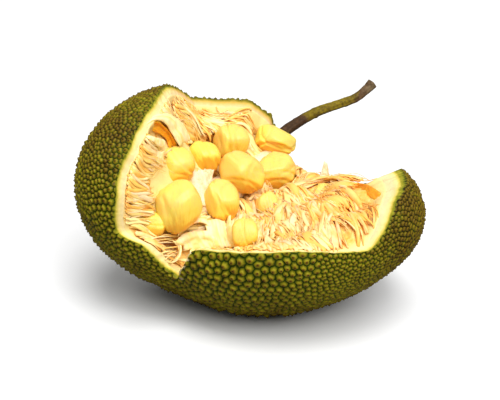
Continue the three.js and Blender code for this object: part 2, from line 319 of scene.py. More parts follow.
def rim_line():
    """The opening's edge as a fine closed line: (directions, how far the bed stands back).
    Great-circle runs between the corners waver a little, and more where the rind was torn."""
    corners = heading(*np.array(RIM, float)[:, :2].T)
    backs = np.array(RIM, float)[:, 2]
    runs, drops, rough = [], [], []
    for k in range(len(RIM)):
        start, end = corners[k], corners[(k + 1) % len(RIM)]
        count = max(3, int(math.degrees(math.acos(np.clip(start @ end, -1, 1))) / RIM_STEP))
        t = np.arange(count)[:, None] / count
        runs.append(unit(start + (end - start) * t))
        drops.append(backs[k] + (backs[(k + 1) % len(RIM)] - backs[k]) * t[:, 0])
        torn = SPLIT_CORNERS[0] <= k < SPLIT_CORNERS[1]
        rough.append(np.full(count, TORN_WAVER if torn else CUT_WAVER))
    directions, drops, rough = (np.concatenate(x) for x in (runs, drops, rough))
    for _ in range(3):
        directions = unit(directions + np.roll(directions, 1, 0) + np.roll(directions, -1, 0))
    chart = to_chart(directions)
    waver = noise(directions, 0.07, 11) + 0.6 * noise(directions, 0.028, 12)
    reach = np.linalg.norm(chart, axis=1)
    return from_chart(chart * (1 + rough * waver / reach)[:, None]), drops


def inside_outline(points, outline):
    """Whether flat points lie inside a closed outline: an odd number of its edges lie right."""
    start, end = outline, np.roll(outline, -1, 0)
    result = np.zeros(len(points), bool)
    for chunk in np.array_split(np.arange(len(points)), max(1, len(points) // 4000)):
        x, y = points[chunk, :1], points[chunk, 1:]
        spans = (start[:, 1] > y) != (end[:, 1] > y)
        rise = np.where(start[:, 1] == end[:, 1], 1e-12, end[:, 1] - start[:, 1])
        crossing = start[:, 0] + (y - start[:, 1]) * (end[:, 0] - start[:, 0]) / rise
        result[chunk] = (spans & (x < crossing)).sum(1) % 2 == 1
    return result


def nearest_on_outline(points, outline):
    """The nearest spot on a closed outline to each flat point."""
    start = outline
    step = np.roll(outline, -1, 0) - start
    offset = points[:, None] - start
    share = (offset * step).sum(-1) / np.maximum((step ** 2).sum(-1), 1e-12)
    spot = start + step * np.clip(share, 0, 1)[..., None]
    best = np.linalg.norm(points[:, None] - spot, axis=-1).argmin(1)
    return spot[np.arange(len(points)), best]


RIM_DIRECTIONS, RIM_BACKS = rim_line()
RIM_CHART = to_chart(RIM_DIRECTIONS)


# ---- The fibre bed ----

def to_bed(points):
    """Points as (sideways, upward, outward) distances from the heart."""
    return (np.asarray(points, float) - HEART) @ np.stack([SIDEWAYS, UPWARD, OUTWARD]).T


def from_bed(local):
    """Points from (sideways, upward, outward) distances."""
    return HEART + local @ np.stack([SIDEWAYS, UPWARD, OUTWARD])


def bed_edge():
    """Where the bed meets the rind's inner wall, along the rim."""
    reach = body_radius(RIM_DIRECTIONS, rind_inset(RIM_DIRECTIONS))
    edge = to_bed(HEART + RIM_DIRECTIONS * reach[:, None])
    edge[:, 2] -= RIM_BACKS
    return edge


BED_EDGE = bed_edge()
BED_KNOWN = np.concatenate([to_bed(BED_POINTS), BED_EDGE[::4]])


def bed_height(flat):
    """The bed's outward height: the known heights weighted by 1 / (distance^2 + blend^2)^2."""
    result = np.empty(len(flat))
    for chunk in np.array_split(np.arange(len(flat)), max(1, len(flat) // 20000)):
        away = ((flat[chunk, None] - BED_KNOWN[None, :, :2]) ** 2).sum(-1)
        weight = 1 / (away + BED_BLEND ** 2) ** 2
        result[chunk] = (weight * BED_KNOWN[:, 2]).sum(1) / weight.sum(1)
    return result


def bed_points(flat):
    """Points on the smooth bed over flat (sideways, upward) places."""
    return from_bed(np.concatenate([flat, bed_height(flat)[:, None]], axis=1))


def bed_normals(flat):
    """The smooth bed's normals, from differences two millimetres apart."""
    step = 2.0
    du = bed_points(flat + (step, 0)) - bed_points(flat - (step, 0))
    dv = bed_points(flat + (0, step)) - bed_points(flat - (0, step))
    return unit(np.cross(du, dv))


# ---- Meshes and materials ----

def new_piece(name, points, faces, material, replaced=(), marks=None):
    """A piece from millimetre points and arrays of triangles or quads. It rides on the body,
    and marks are its named values, one for each point."""
    mesh = bpy.data.meshes.new(name)
    corners = np.concatenate([part.ravel() for part in faces])
    sizes = np.concatenate([np.full(len(part), part.shape[1]) for part in faces])
    mesh.vertices.add(len(points))
    mesh.vertices.foreach_set("co", (np.asarray(points) * MM).astype(np.float32).ravel())
    mesh.loops.add(len(corners))
    mesh.loops.foreach_set("vertex_index", corners.astype(np.int32))
    mesh.polygons.add(len(sizes))
    starts = np.concatenate([[0], np.cumsum(sizes)[:-1]])
    mesh.polygons.foreach_set("loop_start", starts.astype(np.int32))
    mesh.update(calc_edges=True)
    mesh.polygons.foreach_set("use_smooth", np.ones(len(sizes), bool))
    for key, values in (marks or {}).items():
        layer = mesh.attributes.new(name=key, type="FLOAT", domain="POINT")
        layer.data.foreach_set("value", np.asarray(values, dtype=np.float32))
    mesh.materials.append(material)
    piece = bpy.data.objects.new(name, mesh)
    bpy.context.scene.collection.objects.link(piece)
    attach(piece, "root")
    if replaced:
        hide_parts(*replaced)
    return piece


def add_node(tree, kind, inputs=None, **options):
    """A node with its options and inputs set; an input given as a socket is linked."""
    made = tree.nodes.new(kind)
    for key, value in options.items():
        setattr(made, key, value)
    for key, value in (inputs or {}).items():
        if isinstance(value, bpy.types.NodeSocket):
            tree.links.new(value, made.inputs[key])
        else:
            made.inputs[key].default_value = value
    return made


def calculate(tree, operation, first, second=0.0, clamp=False):
    """One step of arithmetic on two numbers or sockets."""
    made = add_node(tree, "ShaderNodeMath", {0: first, 1: second}, operation=operation)
    made.use_clamp = clamp
    return made.outputs[0]


def raised_by(tree, value, source, gain, clamp=False):
    """A value plus a gain times a source."""
    return calculate(tree, "ADD", value, calculate(tree, "MULTIPLY", source, gain), clamp)


def shifted_by(tree, value, source, middle, gain, clamp=False):
    """A value plus a gain times how far a source lies above its middle."""
    return raised_by(tree, value, calculate(tree, "SUBTRACT", source, middle), gain, clamp)


def blend_colours(tree, factor, first, second, mode="MIX"):
    """Two colours mixed by a factor."""
    made = add_node(tree, "ShaderNodeMix", data_type="RGBA", blend_type=mode)
    for index, value in ((0, factor), (6, first), (7, second)):
        if isinstance(value, bpy.types.NodeSocket):
            tree.links.new(value, made.inputs[index])
        elif index == 0:
            made.inputs[index].default_value = value
        else:
            made.inputs[index].default_value = (*value[:3], 1)
    return made.outputs[2]


def colour_ramp(tree, factor, stops):
    """A colour read off (position, colour) stops."""
    made = add_node(tree, "ShaderNodeValToRGB", {"Fac": factor})
    elements = made.color_ramp.elements
    while len(elements) < len(stops):
        elements.new(0.5)
    for element, (position, colour) in zip(elements, stops):
        element.position = position
        element.color = (*colour[:3], 1)
    return made.outputs["Color"]


def map_range(tree, value, low, high, to_low=0.0, to_high=1.0):
    """A value taken smoothly from one range to another and held at its ends."""
    inputs = {"Value": value, "From Min": low, "From Max": high,
              "To Min": to_low, "To Max": to_high}
    return add_node(tree, "ShaderNodeMapRange", inputs, interpolation_type="SMOOTHSTEP").outputs[0]


def mark(tree, name):
    """A named value of the mesh."""
    return add_node(tree, "ShaderNodeAttribute", attribute_name=name).outputs["Fac"]


def noise_value(tree, place, scale, detail=3.0, roughness=0.55):
    """Noise from 0 to 1 at a place."""
    inputs = {"Vector": place, "Scale": scale, "Detail": detail, "Roughness": roughness}
    return add_node(tree, "ShaderNodeTexNoise", inputs).outputs["Fac"]


def mottle_group():
    """The shader node group that every finish shares: a broad and a fine noise at a place, and
    the two mixed by a share. It is built once."""
    group = bpy.data.node_groups.get("mottle")
    if group:
        return group
    group = bpy.data.node_groups.new("mottle", "ShaderNodeTree")
    group.interface.new_socket("Place", in_out="INPUT", socket_type="NodeSocketVector")
    for name, value in (("Broad Scale", 60.0), ("Fine Scale", 600.0), ("Fine Share", 0.5)):
        socket = group.interface.new_socket(name, in_out="INPUT", socket_type="NodeSocketFloat")
        socket.default_value = value
    for name in ("Value", "Broad", "Fine"):
        group.interface.new_socket(name, in_out="OUTPUT", socket_type="NodeSocketFloat")
    given = add_node(group, "NodeGroupInput").outputs
    broad = noise_value(group, given["Place"], given["Broad Scale"], 3)
    fine = noise_value(group, given["Place"], given["Fine Scale"], 4, 0.65)
    value = shifted_by(group, broad, fine, broad, given["Fine Share"])
    add_node(group, "NodeGroupOutput", {"Value": value, "Broad": broad, "Fine": fine})
    return group


def mottle(tree, place, broad, fine, share=0.5):
    """The mottle group in a material: (mixed, broad, fine) values from 0 to 1."""
    made = add_node(tree, "ShaderNodeGroup", node_tree=mottle_group())
    tree.links.new(place, made.inputs["Place"])
    made.inputs["Broad Scale"].default_value = broad
    made.inputs["Fine Scale"].default_value = fine
    made.inputs["Fine Share"].default_value = share
    return made.outputs["Value"], made.outputs["Broad"], made.outputs["Fine"]


def finish(name, build, settings):
    """The material of a name, built with the settings the first time it is asked for."""
    return bpy.data.materials.get(name) or build(name, settings)


def new_material(name):
    """An empty material: (material, node tree, Principled shader, Object coordinates)."""
    material = bpy.data.materials.new(name)
    material.use_nodes = True
    tree = material.node_tree
    tree.nodes.clear()
    shader = add_node(tree, "ShaderNodeBsdfPrincipled")
    add_node(tree, "ShaderNodeOutputMaterial", {"Surface": shader.outputs[0]})
    place = add_node(tree, "ShaderNodeTexCoord").outputs["Object"]
    return material, tree, shader, place


def add_bump(tree, shader, height, distance, strength=1.0):
    """Bumps of a height in metres times a distance, as the shader's normal."""
    inputs = {"Height": height, "Distance": distance, "Strength": strength}
    made = add_node(tree, "ShaderNodeBump", inputs)
    tree.links.new(made.outputs[0], shader.inputs["Normal"])


# ---- The coned rind ----

def cone_spacing(points, width):
    """Distance between cones, as shares of their full width: least at the right end and high
    up, less on the left lobe, more underneath and at the back."""
    x, y, z = points.T
    right = smoothstep(55, 125, x - 0.25 * y)
    left = smoothstep(-35, -110, x)
    upper = smoothstep(105, 175, z) * (1 - right)
    hidden = np.maximum(smoothstep(35, 8, z), smoothstep(10, 70, y)) * (1 - right) * (1 - upper)
    return width * (1 - 0.41 * right - 0.19 * left - upper * (0.26 - 0.07 * left)
                    + 0.36 * hidden)


def nearest_points(points, count):
    """The numbers of each point's nearest other points."""
    squares = (points ** 2).sum(1)
    result = []
    for chunk in np.array_split(np.arange(len(points)), 1 + len(points) // 1000):
        away = squares[chunk, None] + squares[None] - 2 * points[chunk] @ points.T
        away[np.arange(len(chunk)), chunk] = np.inf
        result.append(np.argpartition(away, count, axis=1)[:, :count])
    return np.concatenate(result)


def cone_places(rng, width):
    """Directions of the cones' middles. They are drawn from an even spiral of directions with
    chances that fit the spacing, then pushed apart along the skin until they lie evenly."""
    count = 60000
    number = np.arange(count) + 0.5
    turn = number * math.pi * (3 - math.sqrt(5))
    level = 1 - 2 * number / count
    flat = np.sqrt(1 - level ** 2)
    spiral = np.stack([flat * np.cos(turn), flat * np.sin(turn), level], axis=1)
    points = skin_points(spiral)
    facing = (skin_normals(spiral) * spiral).sum(1)
    area = 4 * math.pi / count * ((points - HEART) ** 2).sum(1) / facing
    cell = 0.866 * cone_spacing(points, width) ** 2  # six-sided
    share = area / cell
    chosen = rng.choice(count, int(share.sum()), replace=False, p=share / share.sum())
    directions = spiral[chosen]
    # Cones stand a little way into the opening too, so the cut leaves no gap at its edge.
    outside = ~inside_outline(to_chart(directions) * 1.12, RIM_CHART)
    points = skin_points(directions[outside])
    own = rng.uniform(0.76, 1.2, len(points))
    rounds, neighbours = 36, 11
    for step in range(rounds):
        if step % 4 == 0:
            near = nearest_points(points, neighbours)
        reach = 1.22 * cone_spacing(points, width) * own
        away = points[:, None] - points[near]
        gap = np.linalg.norm(away, axis=-1)
        push = np.maximum(0, (reach[:, None] + reach[near]) / 2 - gap) / np.maximum(gap, 0.1)
        directions = unit(points + 0.22 * (away * push[..., None]).sum(1) - HEART)
        points = skin_points(directions)
    return directions


def sphere_triangles(directions):
    """Triangles between neighbouring directions: a flat Delaunay triangulation of them, seen
    from the pole in the middle of the opening, which keeps circles round."""
    flat = np.stack([directions @ SIDEWAYS, directions @ UPWARD], axis=1)
    flat /= (1 - directions @ OUTWARD)[:, None]
    found = delaunay_2d_cdt([Vector(p) for p in flat.tolist()], [], [], 0, 1e-9)
    source = np.array([number[0] for number in found[3]])
    triangles = source[np.array(found[2])]
    a, b, c = (directions[triangles[:, k]] for k in range(3))
    turned = (np.cross(b - a, c - a) * (a + b + c)).sum(1) < 0
    triangles[turned] = triangles[turned][:, ::-1]
    return triangles


def cone_mesh(directions, rng, width, steepness):
    """The coned skin as points, triangles, and each point's rise (0 in the valleys, 1 at the
    tips) and tone (one number a cone). Each triangle between three cones is split at its
    middle and edge middles, so a cone stands on a cell of about six sides. Its height over
    the skin is H (1 - s^1.4), with s the share of the way from the tip to the cell's edge.
    The skin swells a little at the right lobe's upper end."""
    triangles = sphere_triangles(directions)
    count = len(directions)
    sides = np.stack([triangles, np.roll(triangles, -1, 1)], axis=-1)  # edge k is corner k to k+1
    edges, number = np.unique(np.sort(sides.reshape(-1, 2), axis=1), axis=0, return_inverse=True)
    number = number.reshape(-1, 3)
    tips = skin_points(directions)
    spacing = cone_spacing(tips, width)

    edge_start = count
    middle_start = edge_start + len(edges)
    half_start = middle_start + len(triangles)  # ring points towards edge middles, two an edge
    inner_start = half_start + 2 * len(edges)   # ring points towards triangle middles, three each
    ring = 0.5
    edge_points = tips[edges].mean(1)
    middle_points = tips[triangles].mean(1)
    half_points = tips[edges] + ring * (edge_points[:, None] - tips[edges])
    inner_points = tips[triangles] + ring * (middle_points[:, None] - tips[triangles])
    lean = 0.16 * spacing[:, None] * rng.uniform(-1, 1, (count, 3))
    base = np.concatenate([tips + lean, edge_points, middle_points,
                           half_points.reshape(-1, 3), inner_points.reshape(-1, 3)])
    rise = np.concatenate([np.ones(count), np.zeros(len(edges) + len(triangles)),
                           np.full(2 * len(edges) + 3 * len(triangles), 1 - ring)])
    owner = np.concatenate([np.arange(count), edges[:, 0], triangles[:, 0],
                            edges.ravel(), triangles.ravel()])

    height = spacing * steepness * rng.uniform(0.65, 1.3, count)
    lift = height[owner] * (1 - (1 - rise) ** 1.4)
    valley = slice(edge_start, half_start)
    lift[valley] = -0.35
    lift[middle_start:half_start] = -0.55
    way = unit(base - HEART)
    skin = skin_points(way)
    full = END_SWELLING * smoothstep(0.80, 0.97, way @ unit(SWELLING_WAY))
    points = skin + skin_normals(way) * (lift + full + 0.25 * noise(skin, 9.0, 3))[:, None]
    tone = rng.uniform(0, 1, count)[owner]

    following = number                # edge from corner k to the next
    previous = np.roll(number, 1, 1)  # edge from the corner before
    side = (edges[following][..., 0] != triangles).astype(int)
    side_before = (edges[previous][..., 0] != triangles).astype(int)
    out = half_start + 2 * following + side
    back = half_start + 2 * previous + side_before
    corner = np.arange(3)[None]
    face = np.arange(len(triangles))[:, None]
    inner = inner_start + 3 * face + corner
    centre = np.broadcast_to(middle_start + face, triangles.shape)
    ahead, behind = edge_start + following, edge_start + previous
    parts = [(triangles, out, inner), (out, ahead, centre), (out, centre, inner),
             (triangles, inner, back), (inner, centre, behind), (inner, behind, back)]
    faces = np.concatenate([np.stack(part, axis=-1).reshape(-1, 3) for part in parts])
    return points, faces, rise, tone


def cut_away(points, faces, level, marks):
    """The part of a triangle mesh where level is positive: (points, faces, marks, cut edges).
    A triangle that crosses zero is cut where level, taken as linear along its sides, is zero."""
    keep = level > 0
    kept = keep[faces].sum(1)
    mixed = faces[(kept == 1) | (kept == 2)]
    alone = keep[mixed] == (keep[mixed].sum(1) == 1)[:, None]
    first = alone.argmax(1)
    rows = np.arange(len(mixed))
    a, b, c = (mixed[rows, (first + k) % 3] for k in range(3))
    pairs = np.sort(np.concatenate([np.stack([a, b], 1), np.stack([a, c], 1)]), axis=1)
    pairs, number = np.unique(pairs, axis=0, return_inverse=True)
    number = number.ravel() + len(points)
    ab, ac = number[:len(mixed)], number[len(mixed):]
    share = level[pairs[:, 0]] / (level[pairs[:, 0]] - level[pairs[:, 1]])
    share = np.clip(share, 0.03, 0.97)
    cut = points[pairs[:, 0]] + share[:, None] * (points[pairs[:, 1]] - points[pairs[:, 0]])
    cut_marks = {key: value[pairs[:, 0]] * (1 - share) + value[pairs[:, 1]] * share
                 for key, value in marks.items()}
    tip = keep[a]
    new = [faces[kept == 3], np.stack([a, ab, ac], 1)[tip],
           np.stack([ab, b, c], 1)[~tip], np.stack([ab, c, ac], 1)[~tip]]
    rim = np.concatenate([np.stack([ac, ab], 1)[tip], np.stack([ab, ac], 1)[~tip]])
    points = np.concatenate([points, cut])
    marks = {key: np.concatenate([value, cut_marks[key]]) for key, value in marks.items()}
    faces = np.concatenate(new)
    used, renumbered = np.unique(faces, return_inverse=True)
    lookup = np.full(len(points), -1)
    lookup[used] = np.arange(len(used))
    marks = {key: value[used] for key, value in marks.items()}
    return points[used], renumbered.reshape(-1, 3), marks, lookup[rim]


def outline_distance(directions):
    """Distance in millimetres outside the opening's edge, negative inside it."""
    chart = to_chart(directions)
    distance = np.empty(len(chart))
    inside = inside_outline(chart, RIM_CHART)
    for chunk in np.array_split(np.arange(len(chart)), 1 + len(chart) // 4000):
        spot = nearest_on_outline(chart[chunk], RIM_CHART)
        distance[chunk] = np.linalg.norm(chart[chunk] - spot, axis=1)
    return np.where(inside, -1, 1) * distance * RIM_REACH


def rim_wall(way, share, aside=0.0):
    """Points on the cut face under rim directions, at a share of the rind's thickness in from
    the skin. The face sways by smooth noise, and aside moves it towards the opening."""
    chart = to_chart(way)
    reach = np.linalg.norm(chart, axis=1)[:, None]
    depth = share * rind_inset(way)
    place = HEART + way * (body_radius(way) - depth)[:, None]
    sway = (0.7 * noise(place, 6.0, 21) + 0.3 * noise(place, 2.2, 22)) * min(1.0, share * 4)
    turned = from_chart(chart / reach * (reach + (0.9 * sway[:, None] - aside) / RIM_REACH))
    return HEART + turned * (body_radius(turned) - depth)[:, None], depth


def make_rind(settings):
    """The rind: coned skin outside the opening, a cut face that runs straight in towards the
    heart with soft lumps, and an inner wall that turns down to a pole opposite the opening."""
    rng = np.random.default_rng(settings.seed)
    width = settings.cone_width / MM
    points, faces, rise, tone = cone_mesh(cone_places(rng, width), rng, width, settings.steepness)
    level = outline_distance(unit(points - HEART))
    points, faces, marks, edges = cut_away(points, faces, level, {"rise": rise, "tone": tone})

    rim, ends = np.unique(edges, return_inverse=True)
    ends = ends.reshape(-1, 2)
    way = unit(points[rim] - HEART)
    rows, depths = [], []
    after, before = np.empty(len(rim), int), np.empty(len(rim), int)
    after[ends[:, 0]], before[ends[:, 1]] = ends[:, 1], ends[:, 0]
    # Rows down the cut face, at shares of the rind's thickness.
    for share in (0.07, 0.16, 0.28, 0.43, 0.60, 0.79, 0.97, 1.0):
        way = unit(2 * way + way[after] + way[before])
        row, depth = rim_wall(way, share)
        rows.append(row)
        depths.append(depth)
    # Rows down the inner wall, at shares of the way to the pole.
    chart = to_chart(way)
    reach = np.linalg.norm(chart, axis=1)[:, None]
    for share in (0.06, 0.16, 0.32, 0.52, 0.75):
        turned = from_chart(chart / reach * (reach + share * (math.pi - reach)))
        rows.append(HEART + turned * body_radius(turned, rind_inset(turned))[:, None])
        depths.append(np.full(len(rim), WALL_DEPTH))
    pole = HEART - OUTWARD * body_radius(-OUTWARD[None], RIND_THICKNESS)[:, None]

    start, count = len(points), len(rim)
    here, following = ends.T
    rings = [rim] + [start + k * count + np.arange(count) for k in range(len(rows))]
    walls = [np.stack([upper[here], upper[following], lower[following], lower[here]], 1)
             for upper, lower in zip(rings[:-1], rings[1:])]
    last = rings[-1]
    pole_number = np.full(len(ends), start + len(rows) * count)
    cap = np.stack([last[here], last[following], pole_number], 1)
    added = sum(len(row) for row in rows) + 1
    marks = {
        "rise": np.concatenate([marks["rise"], np.zeros(added)]),
        "tone": np.concatenate([marks["tone"], np.full(added, 0.5)]),
        "depth": np.concatenate([np.zeros(start), *depths, [WALL_DEPTH]]),
    }
    points = np.concatenate([points, *rows, pole])
    points[:, 2] = np.maximum(points[:, 2], 0.5 * (1 - marks["rise"]))
    material = finish("coned_rind", rind_material, settings)
    return new_piece("rind_skin", points, [faces, *walls, cap], material, ("rind",), marks)


def rind_material(name, settings):
    """Green valleys, olive flanks, yellow-green shoulders and brown tips on the skin; on the
    cut face, green under the skin that fades to yellow-green and cream."""
    material, tree, shader, place = new_material(name)
    rise, tone, depth = mark(tree, "rise"), mark(tree, "tone"), mark(tree, "depth")
    _, broad, fine = mottle(tree, place, 22, 900)
    parts = add_node(tree, "ShaderNodeSeparateXYZ", {"Vector": place}).outputs

    shifted = shifted_by(tree, rise, fine, 0.5, 0.25)
    dark = [0.4 * part for part in settings.valley]
    green = colour_ramp(tree, shifted, [
        (0.02, dark), (0.10, settings.valley), (0.27, settings.flank),
        (0.52, settings.shoulder), (0.74, settings.below_tip), (0.9, settings.tip),
    ])
    brown = colour_ramp(tree, shifted, [
        (0.03, (0.010, 0.008, 0.0)), (0.20, (0.040, 0.027, 0.001)), (0.45, settings.worn),
        (0.62, [0.85 * part for part in settings.worn]), (0.78, (0.052, 0.022, 0.002)),
        (0.92, (0.024, 0.009, 0.001)),
    ])
    right = map_range(tree, parts[0], 0.075, 0.155)
    low = map_range(tree, parts[2], 0.045, 0.0)
    high = map_range(tree, parts[2], 0.11, 0.19)
    worn = raised_by(tree, calculate(tree, "MULTIPLY", low, 0.5), high, 0.75)
    worn = raised_by(tree, worn, right, 0.9)
    worn = shifted_by(tree, worn, broad, 0.52, 1.6)
    worn = shifted_by(tree, worn, tone, 0.5, 0.9, clamp=True)
    skin = blend_colours(tree, worn, green, brown)
    scars = map_range(tree, noise_value(tree, place, 48, 2), 0.73, 0.77)
    skin = blend_colours(tree, calculate(tree, "MULTIPLY", scars, 0.6), skin, (0.42, 0.34, 0.24))

    below = shifted_by(tree, depth, noise_value(tree, place, 240, 3), 0.5, 3.0)
    back = map_range(tree, parts[1], 0.0, 0.06, 1.0, 0.6)
    below = calculate(tree, "MULTIPLY", below, back)
    flesh = colour_ramp(tree, calculate(tree, "DIVIDE", below, WALL_DEPTH, clamp=True), [
        (0.0, (0.10, 0.12, 0.004)), (0.05, (0.30, 0.28, 0.015)), (0.13, (0.70, 0.56, 0.09)),
        (0.26, (0.95, 0.76, 0.30)), (0.5, settings.flesh), (0.75, (0.96, 0.73, 0.38)),
        (1.0, (0.95, 0.68, 0.34)),
    ])
    behind = map_range(tree, parts[1], 0.0, 0.04)
    flesh = blend_colours(tree, behind, flesh, (0.93, 0.76, 0.90), "MULTIPLY")
    colour = blend_colours(tree, map_range(tree, depth, 0.0, 0.5), skin, flesh)
    tree.links.new(colour, shader.inputs["Base Color"])
    tree.links.new(raised_by(tree, 0.42, fine, 0.25), shader.inputs["Roughness"])
    shader.inputs["Specular IOR Level"].default_value = 0.12
    height = raised_by(tree, fine, noise_value(tree, place, 350, 2), 1.5)
    add_bump(tree, shader, height, 0.0004, 0.6)
    return material


# ---- Bulbs, core and stem ----

# Each bulb: middle, size (length, width, thickness), crown direction, the soft planes that
# bound it and its creases. A plane is (angle round, lean, distance in mm): seen from the
# front, 0 is right and 90 is up, and it leans that many degrees towards the viewer. A crease
# is (angle round, lean, share, depth in mm): a groove where the cosine with that direction is
# the share. The last two are sheets and have neither.
BULBS = [
    ((-63, -86, 114), (54, 43, 36), (-0.1, 0.25, 1),
     [(90, 0, 26), (130, 0, 21), (180, 0, 22.5), (205, 0, 21.5), (235, 0, 24), (291, 0, 22),
      (318, 0, 20.5), (0, 0, 22.5), (32, 0, 21), (100, 55, 19), (190, 48, 18), (335, 50, 17.5),
      (255, 60, 17.5)],
     [(10, 20, -0.35, 0.9), (200, 10, 0.62, 0.8), (330, 30, 0.45, 0.8)]),
    ((-25, -48, 106), (43, 32, 30), (-0.35, 0.2, 0.9),
     [(82, 0, 20.5), (45, 0, 18.5), (12, 0, 16.5), (345, 0, 17), (285, 0, 20.5), (240, 0, 18.5),
      (195, 0, 16.5), (150, 0, 17.5), (60, 50, 15.5), (200, 45, 15), (300, 50, 16)],
     [(20, 10, 0.0, 0.9), (10, 30, 0.55, 0.7), (190, 10, 0.3, 0.6)]),
    ((-66, -50, 141), (46, 38, 34), (-0.5, 0.35, 0.6),
     [(95, 0, 18.5), (50, 0, 17.5), (10, 0, 17.5), (340, 0, 17), (290, 0, 17), (245, 0, 19),
      (180, 0, 19), (135, 0, 18.5), (70, 50, 16), (190, 45, 16), (310, 50, 16)],
     [(40, 10, 0.45, 0.9), (60, 20, 0.0, 0.6)]),
    ((-42, -4, 135), (38, 31, 28), (-0.5, 0.3, 0.7),
     [(90, 0, 15), (55, 0, 15.5), (20, 0, 14.5), (330, 0, 15.5), (270, 0, 15), (215, 0, 14.5),
      (150, 0, 17), (80, 50, 14), (300, 50, 14), (200, 40, 14)],
     [(30, 0, 0.42, 1.1), (200, 20, 0.5, 0.6)]),
    ((-18, 30, 140), (40, 38, 32), (-0.1, 0.35, 0.9),
     [(92, 0, 18.5), (55, 0, 18.5), (12, 0, 18.5), (330, 0, 18.5), (270, 0, 18), (225, 0, 17.5),
      (188, 0, 18.5), (140, 0, 16), (70, 45, 15), (190, 40, 14), (305, 50, 15)],
     [(184, 8, 0.22, 2.2), (0, 10, 0.5, 0.9), (15, 20, 0.1, 0.6)]),
    ((26, 68, 130), (47, 33, 32), (0.9, 0.2, -0.25),
     [(60, 0, 12), (105, 0, 18.5), (160, 0, 20.5), (213, 0, 20.5), (265, 0, 14.5), (316, 0, 23),
      (5, 0, 24), (75, 40, 13), (250, 40, 14), (150, 45, 16), (0, 45, 19)],
     [(60, 40, 0.25, 1.3), (262, 10, 0.5, 1.6), (150, 10, 0.62, 0.8)]),
    ((-7, -13, 123), (49, 41, 34), (-0.75, 0.1, 0.65),
     [(107, 0, 24), (60, 0, 18), (33, 0, 20), (0, 0, 23.5), (320, 0, 26), (272, 0, 22.5),
      (236, 0, 18.5), (203, 0, 21), (165, 0, 23.5), (132, 0, 23.5), (82, 38, 17.5),
      (262, 36, 16.5), (170, 45, 18), (350, 50, 18)],
     [(262, 10, 0.6, 1.0), (60, 10, 0.5, 0.7), (345, 20, 0.66, 0.9)]),
    ((29, 30, 108), (42, 38, 34), (-0.2, 0.35, 0.9),
     [(90, 0, 21), (50, 0, 20), (12, 0, 18.5), (340, 0, 18.5), (300, 0, 19), (260, 0, 20.5),
      (205, 0, 19.5), (135, 0, 20), (100, 45, 17), (350, 40, 17), (270, 45, 16.5)],
     [(275, 20, 0.35, 1.3), (268, 10, 0.62, 1.0), (100, 20, 0.25, 0.8), (80, 0, 0.7, 0.7)]),
    ((18, -36, 96), (36, 20, 20), (-0.35, 0.3, 0.9),
     [(90, 0, 17), (30, 0, 11.5), (350, 0, 10), (290, 0, 15), (230, 0, 12), (180, 0, 9.5),
      (130, 0, 12), (60, 50, 10.5), (240, 50, 10.5), (0, 90, 10)],
     [(20, 10, 0.2, 0.7)]),
    ((-4, -104, 96), (31, 23, 23), (0.25, 0, 1),
     [(90, 0, 14), (40, 0, 13.5), (0, 0, 12), (315, 0, 13), (265, 0, 15), (215, 0, 13),
      (180, 0, 11), (135, 0, 13), (80, 50, 12), (280, 50, 12), (0, 90, 11)],
     [(10, 20, 0.3, 0.8), (170, 20, 0.4, 0.7)]),
    ((-88, -90, 99), (28, 23, 22), (-0.5, 0.6, 0.6),
     [(90, 0, 11.5), (45, 0, 13), (0, 0, 12.5), (300, 0, 13), (250, 0, 13), (200, 0, 12),
      (150, 0, 12.5), (90, 50, 11.5), (260, 50, 12), (0, 90, 10.5)],
     [(80, 20, 0.3, 0.6)]),
    ((73, -27, 103), (28, 22, 20), (-0.5, 0.3, 0.8),
     [(90, 0, 13), (35, 0, 11.5), (330, 0, 11.5), (270, 0, 12.5), (210, 0, 11.5), (150, 0, 12),
      (80, 45, 10.5), (270, 45, 10.5), (0, 90, 10)],
     [(10, 10, 0.2, 0.6)]),
    ((109, -18, 108), (30, 18, 13), (-0.8, 0.5, 0.2), [], []),
    ((-76, -51, 168), (26, 24, 14), (0.1, 0.8, 0.5), [], []),
]
WARM_BULBS = {3: 2.4, 10: 2.2}  # bulbs more orange than the rest, by how much
BULB_SHARPNESS = 7.5  # higher makes the edges between a bulb's planes sharper
CREASE_SHARE = 0.05  # how deep the fine creases are, as a share of a bulb's radius


def seen_way(turn, lean):
    """Directions from an angle round, as seen from the front, and a lean to the viewer."""
    turn, lean, tilt = np.radians(turn), np.radians(lean), math.radians(VIEW_TILT)
    up = np.array([0, math.sin(tilt), math.cos(tilt)])
    near = np.array([0, -math.cos(tilt), math.sin(tilt)])
    flat = np.cos(turn)[..., None] * np.array([1.0, 0, 0]) + np.sin(turn)[..., None] * up
    return np.cos(lean)[..., None] * flat + np.sin(lean)[..., None] * near


def crown_axes(crown):
    """Width, length and thickness axes of a bulb: the frame's axes after the shortest turn
    that takes +Y onto the crown direction."""
    crown = unit(crown)
    axis = np.cross((0, 1, 0), crown)
    size = np.linalg.norm(axis)
    axis = axis / size
    cosine = crown[1]
    skew = np.array([[0, -axis[2], axis[1]], [axis[2], 0, -axis[0]], [-axis[1], axis[0], 0]])
    turn = np.eye(3) + size * skew + (1 - cosine) * skew @ skew
    return turn.T


def bulb_frames():
    """Middles, axes and half sizes (width, length, thickness) of all bulbs."""
    middles = np.array([bulb[0] for bulb in BULBS], float)
    axes = np.array([crown_axes(bulb[2]) for bulb in BULBS])
    halves = np.array([(bulb[1][1], bulb[1][0], bulb[1][2]) for bulb in BULBS], float) / 2
    return middles, axes, halves


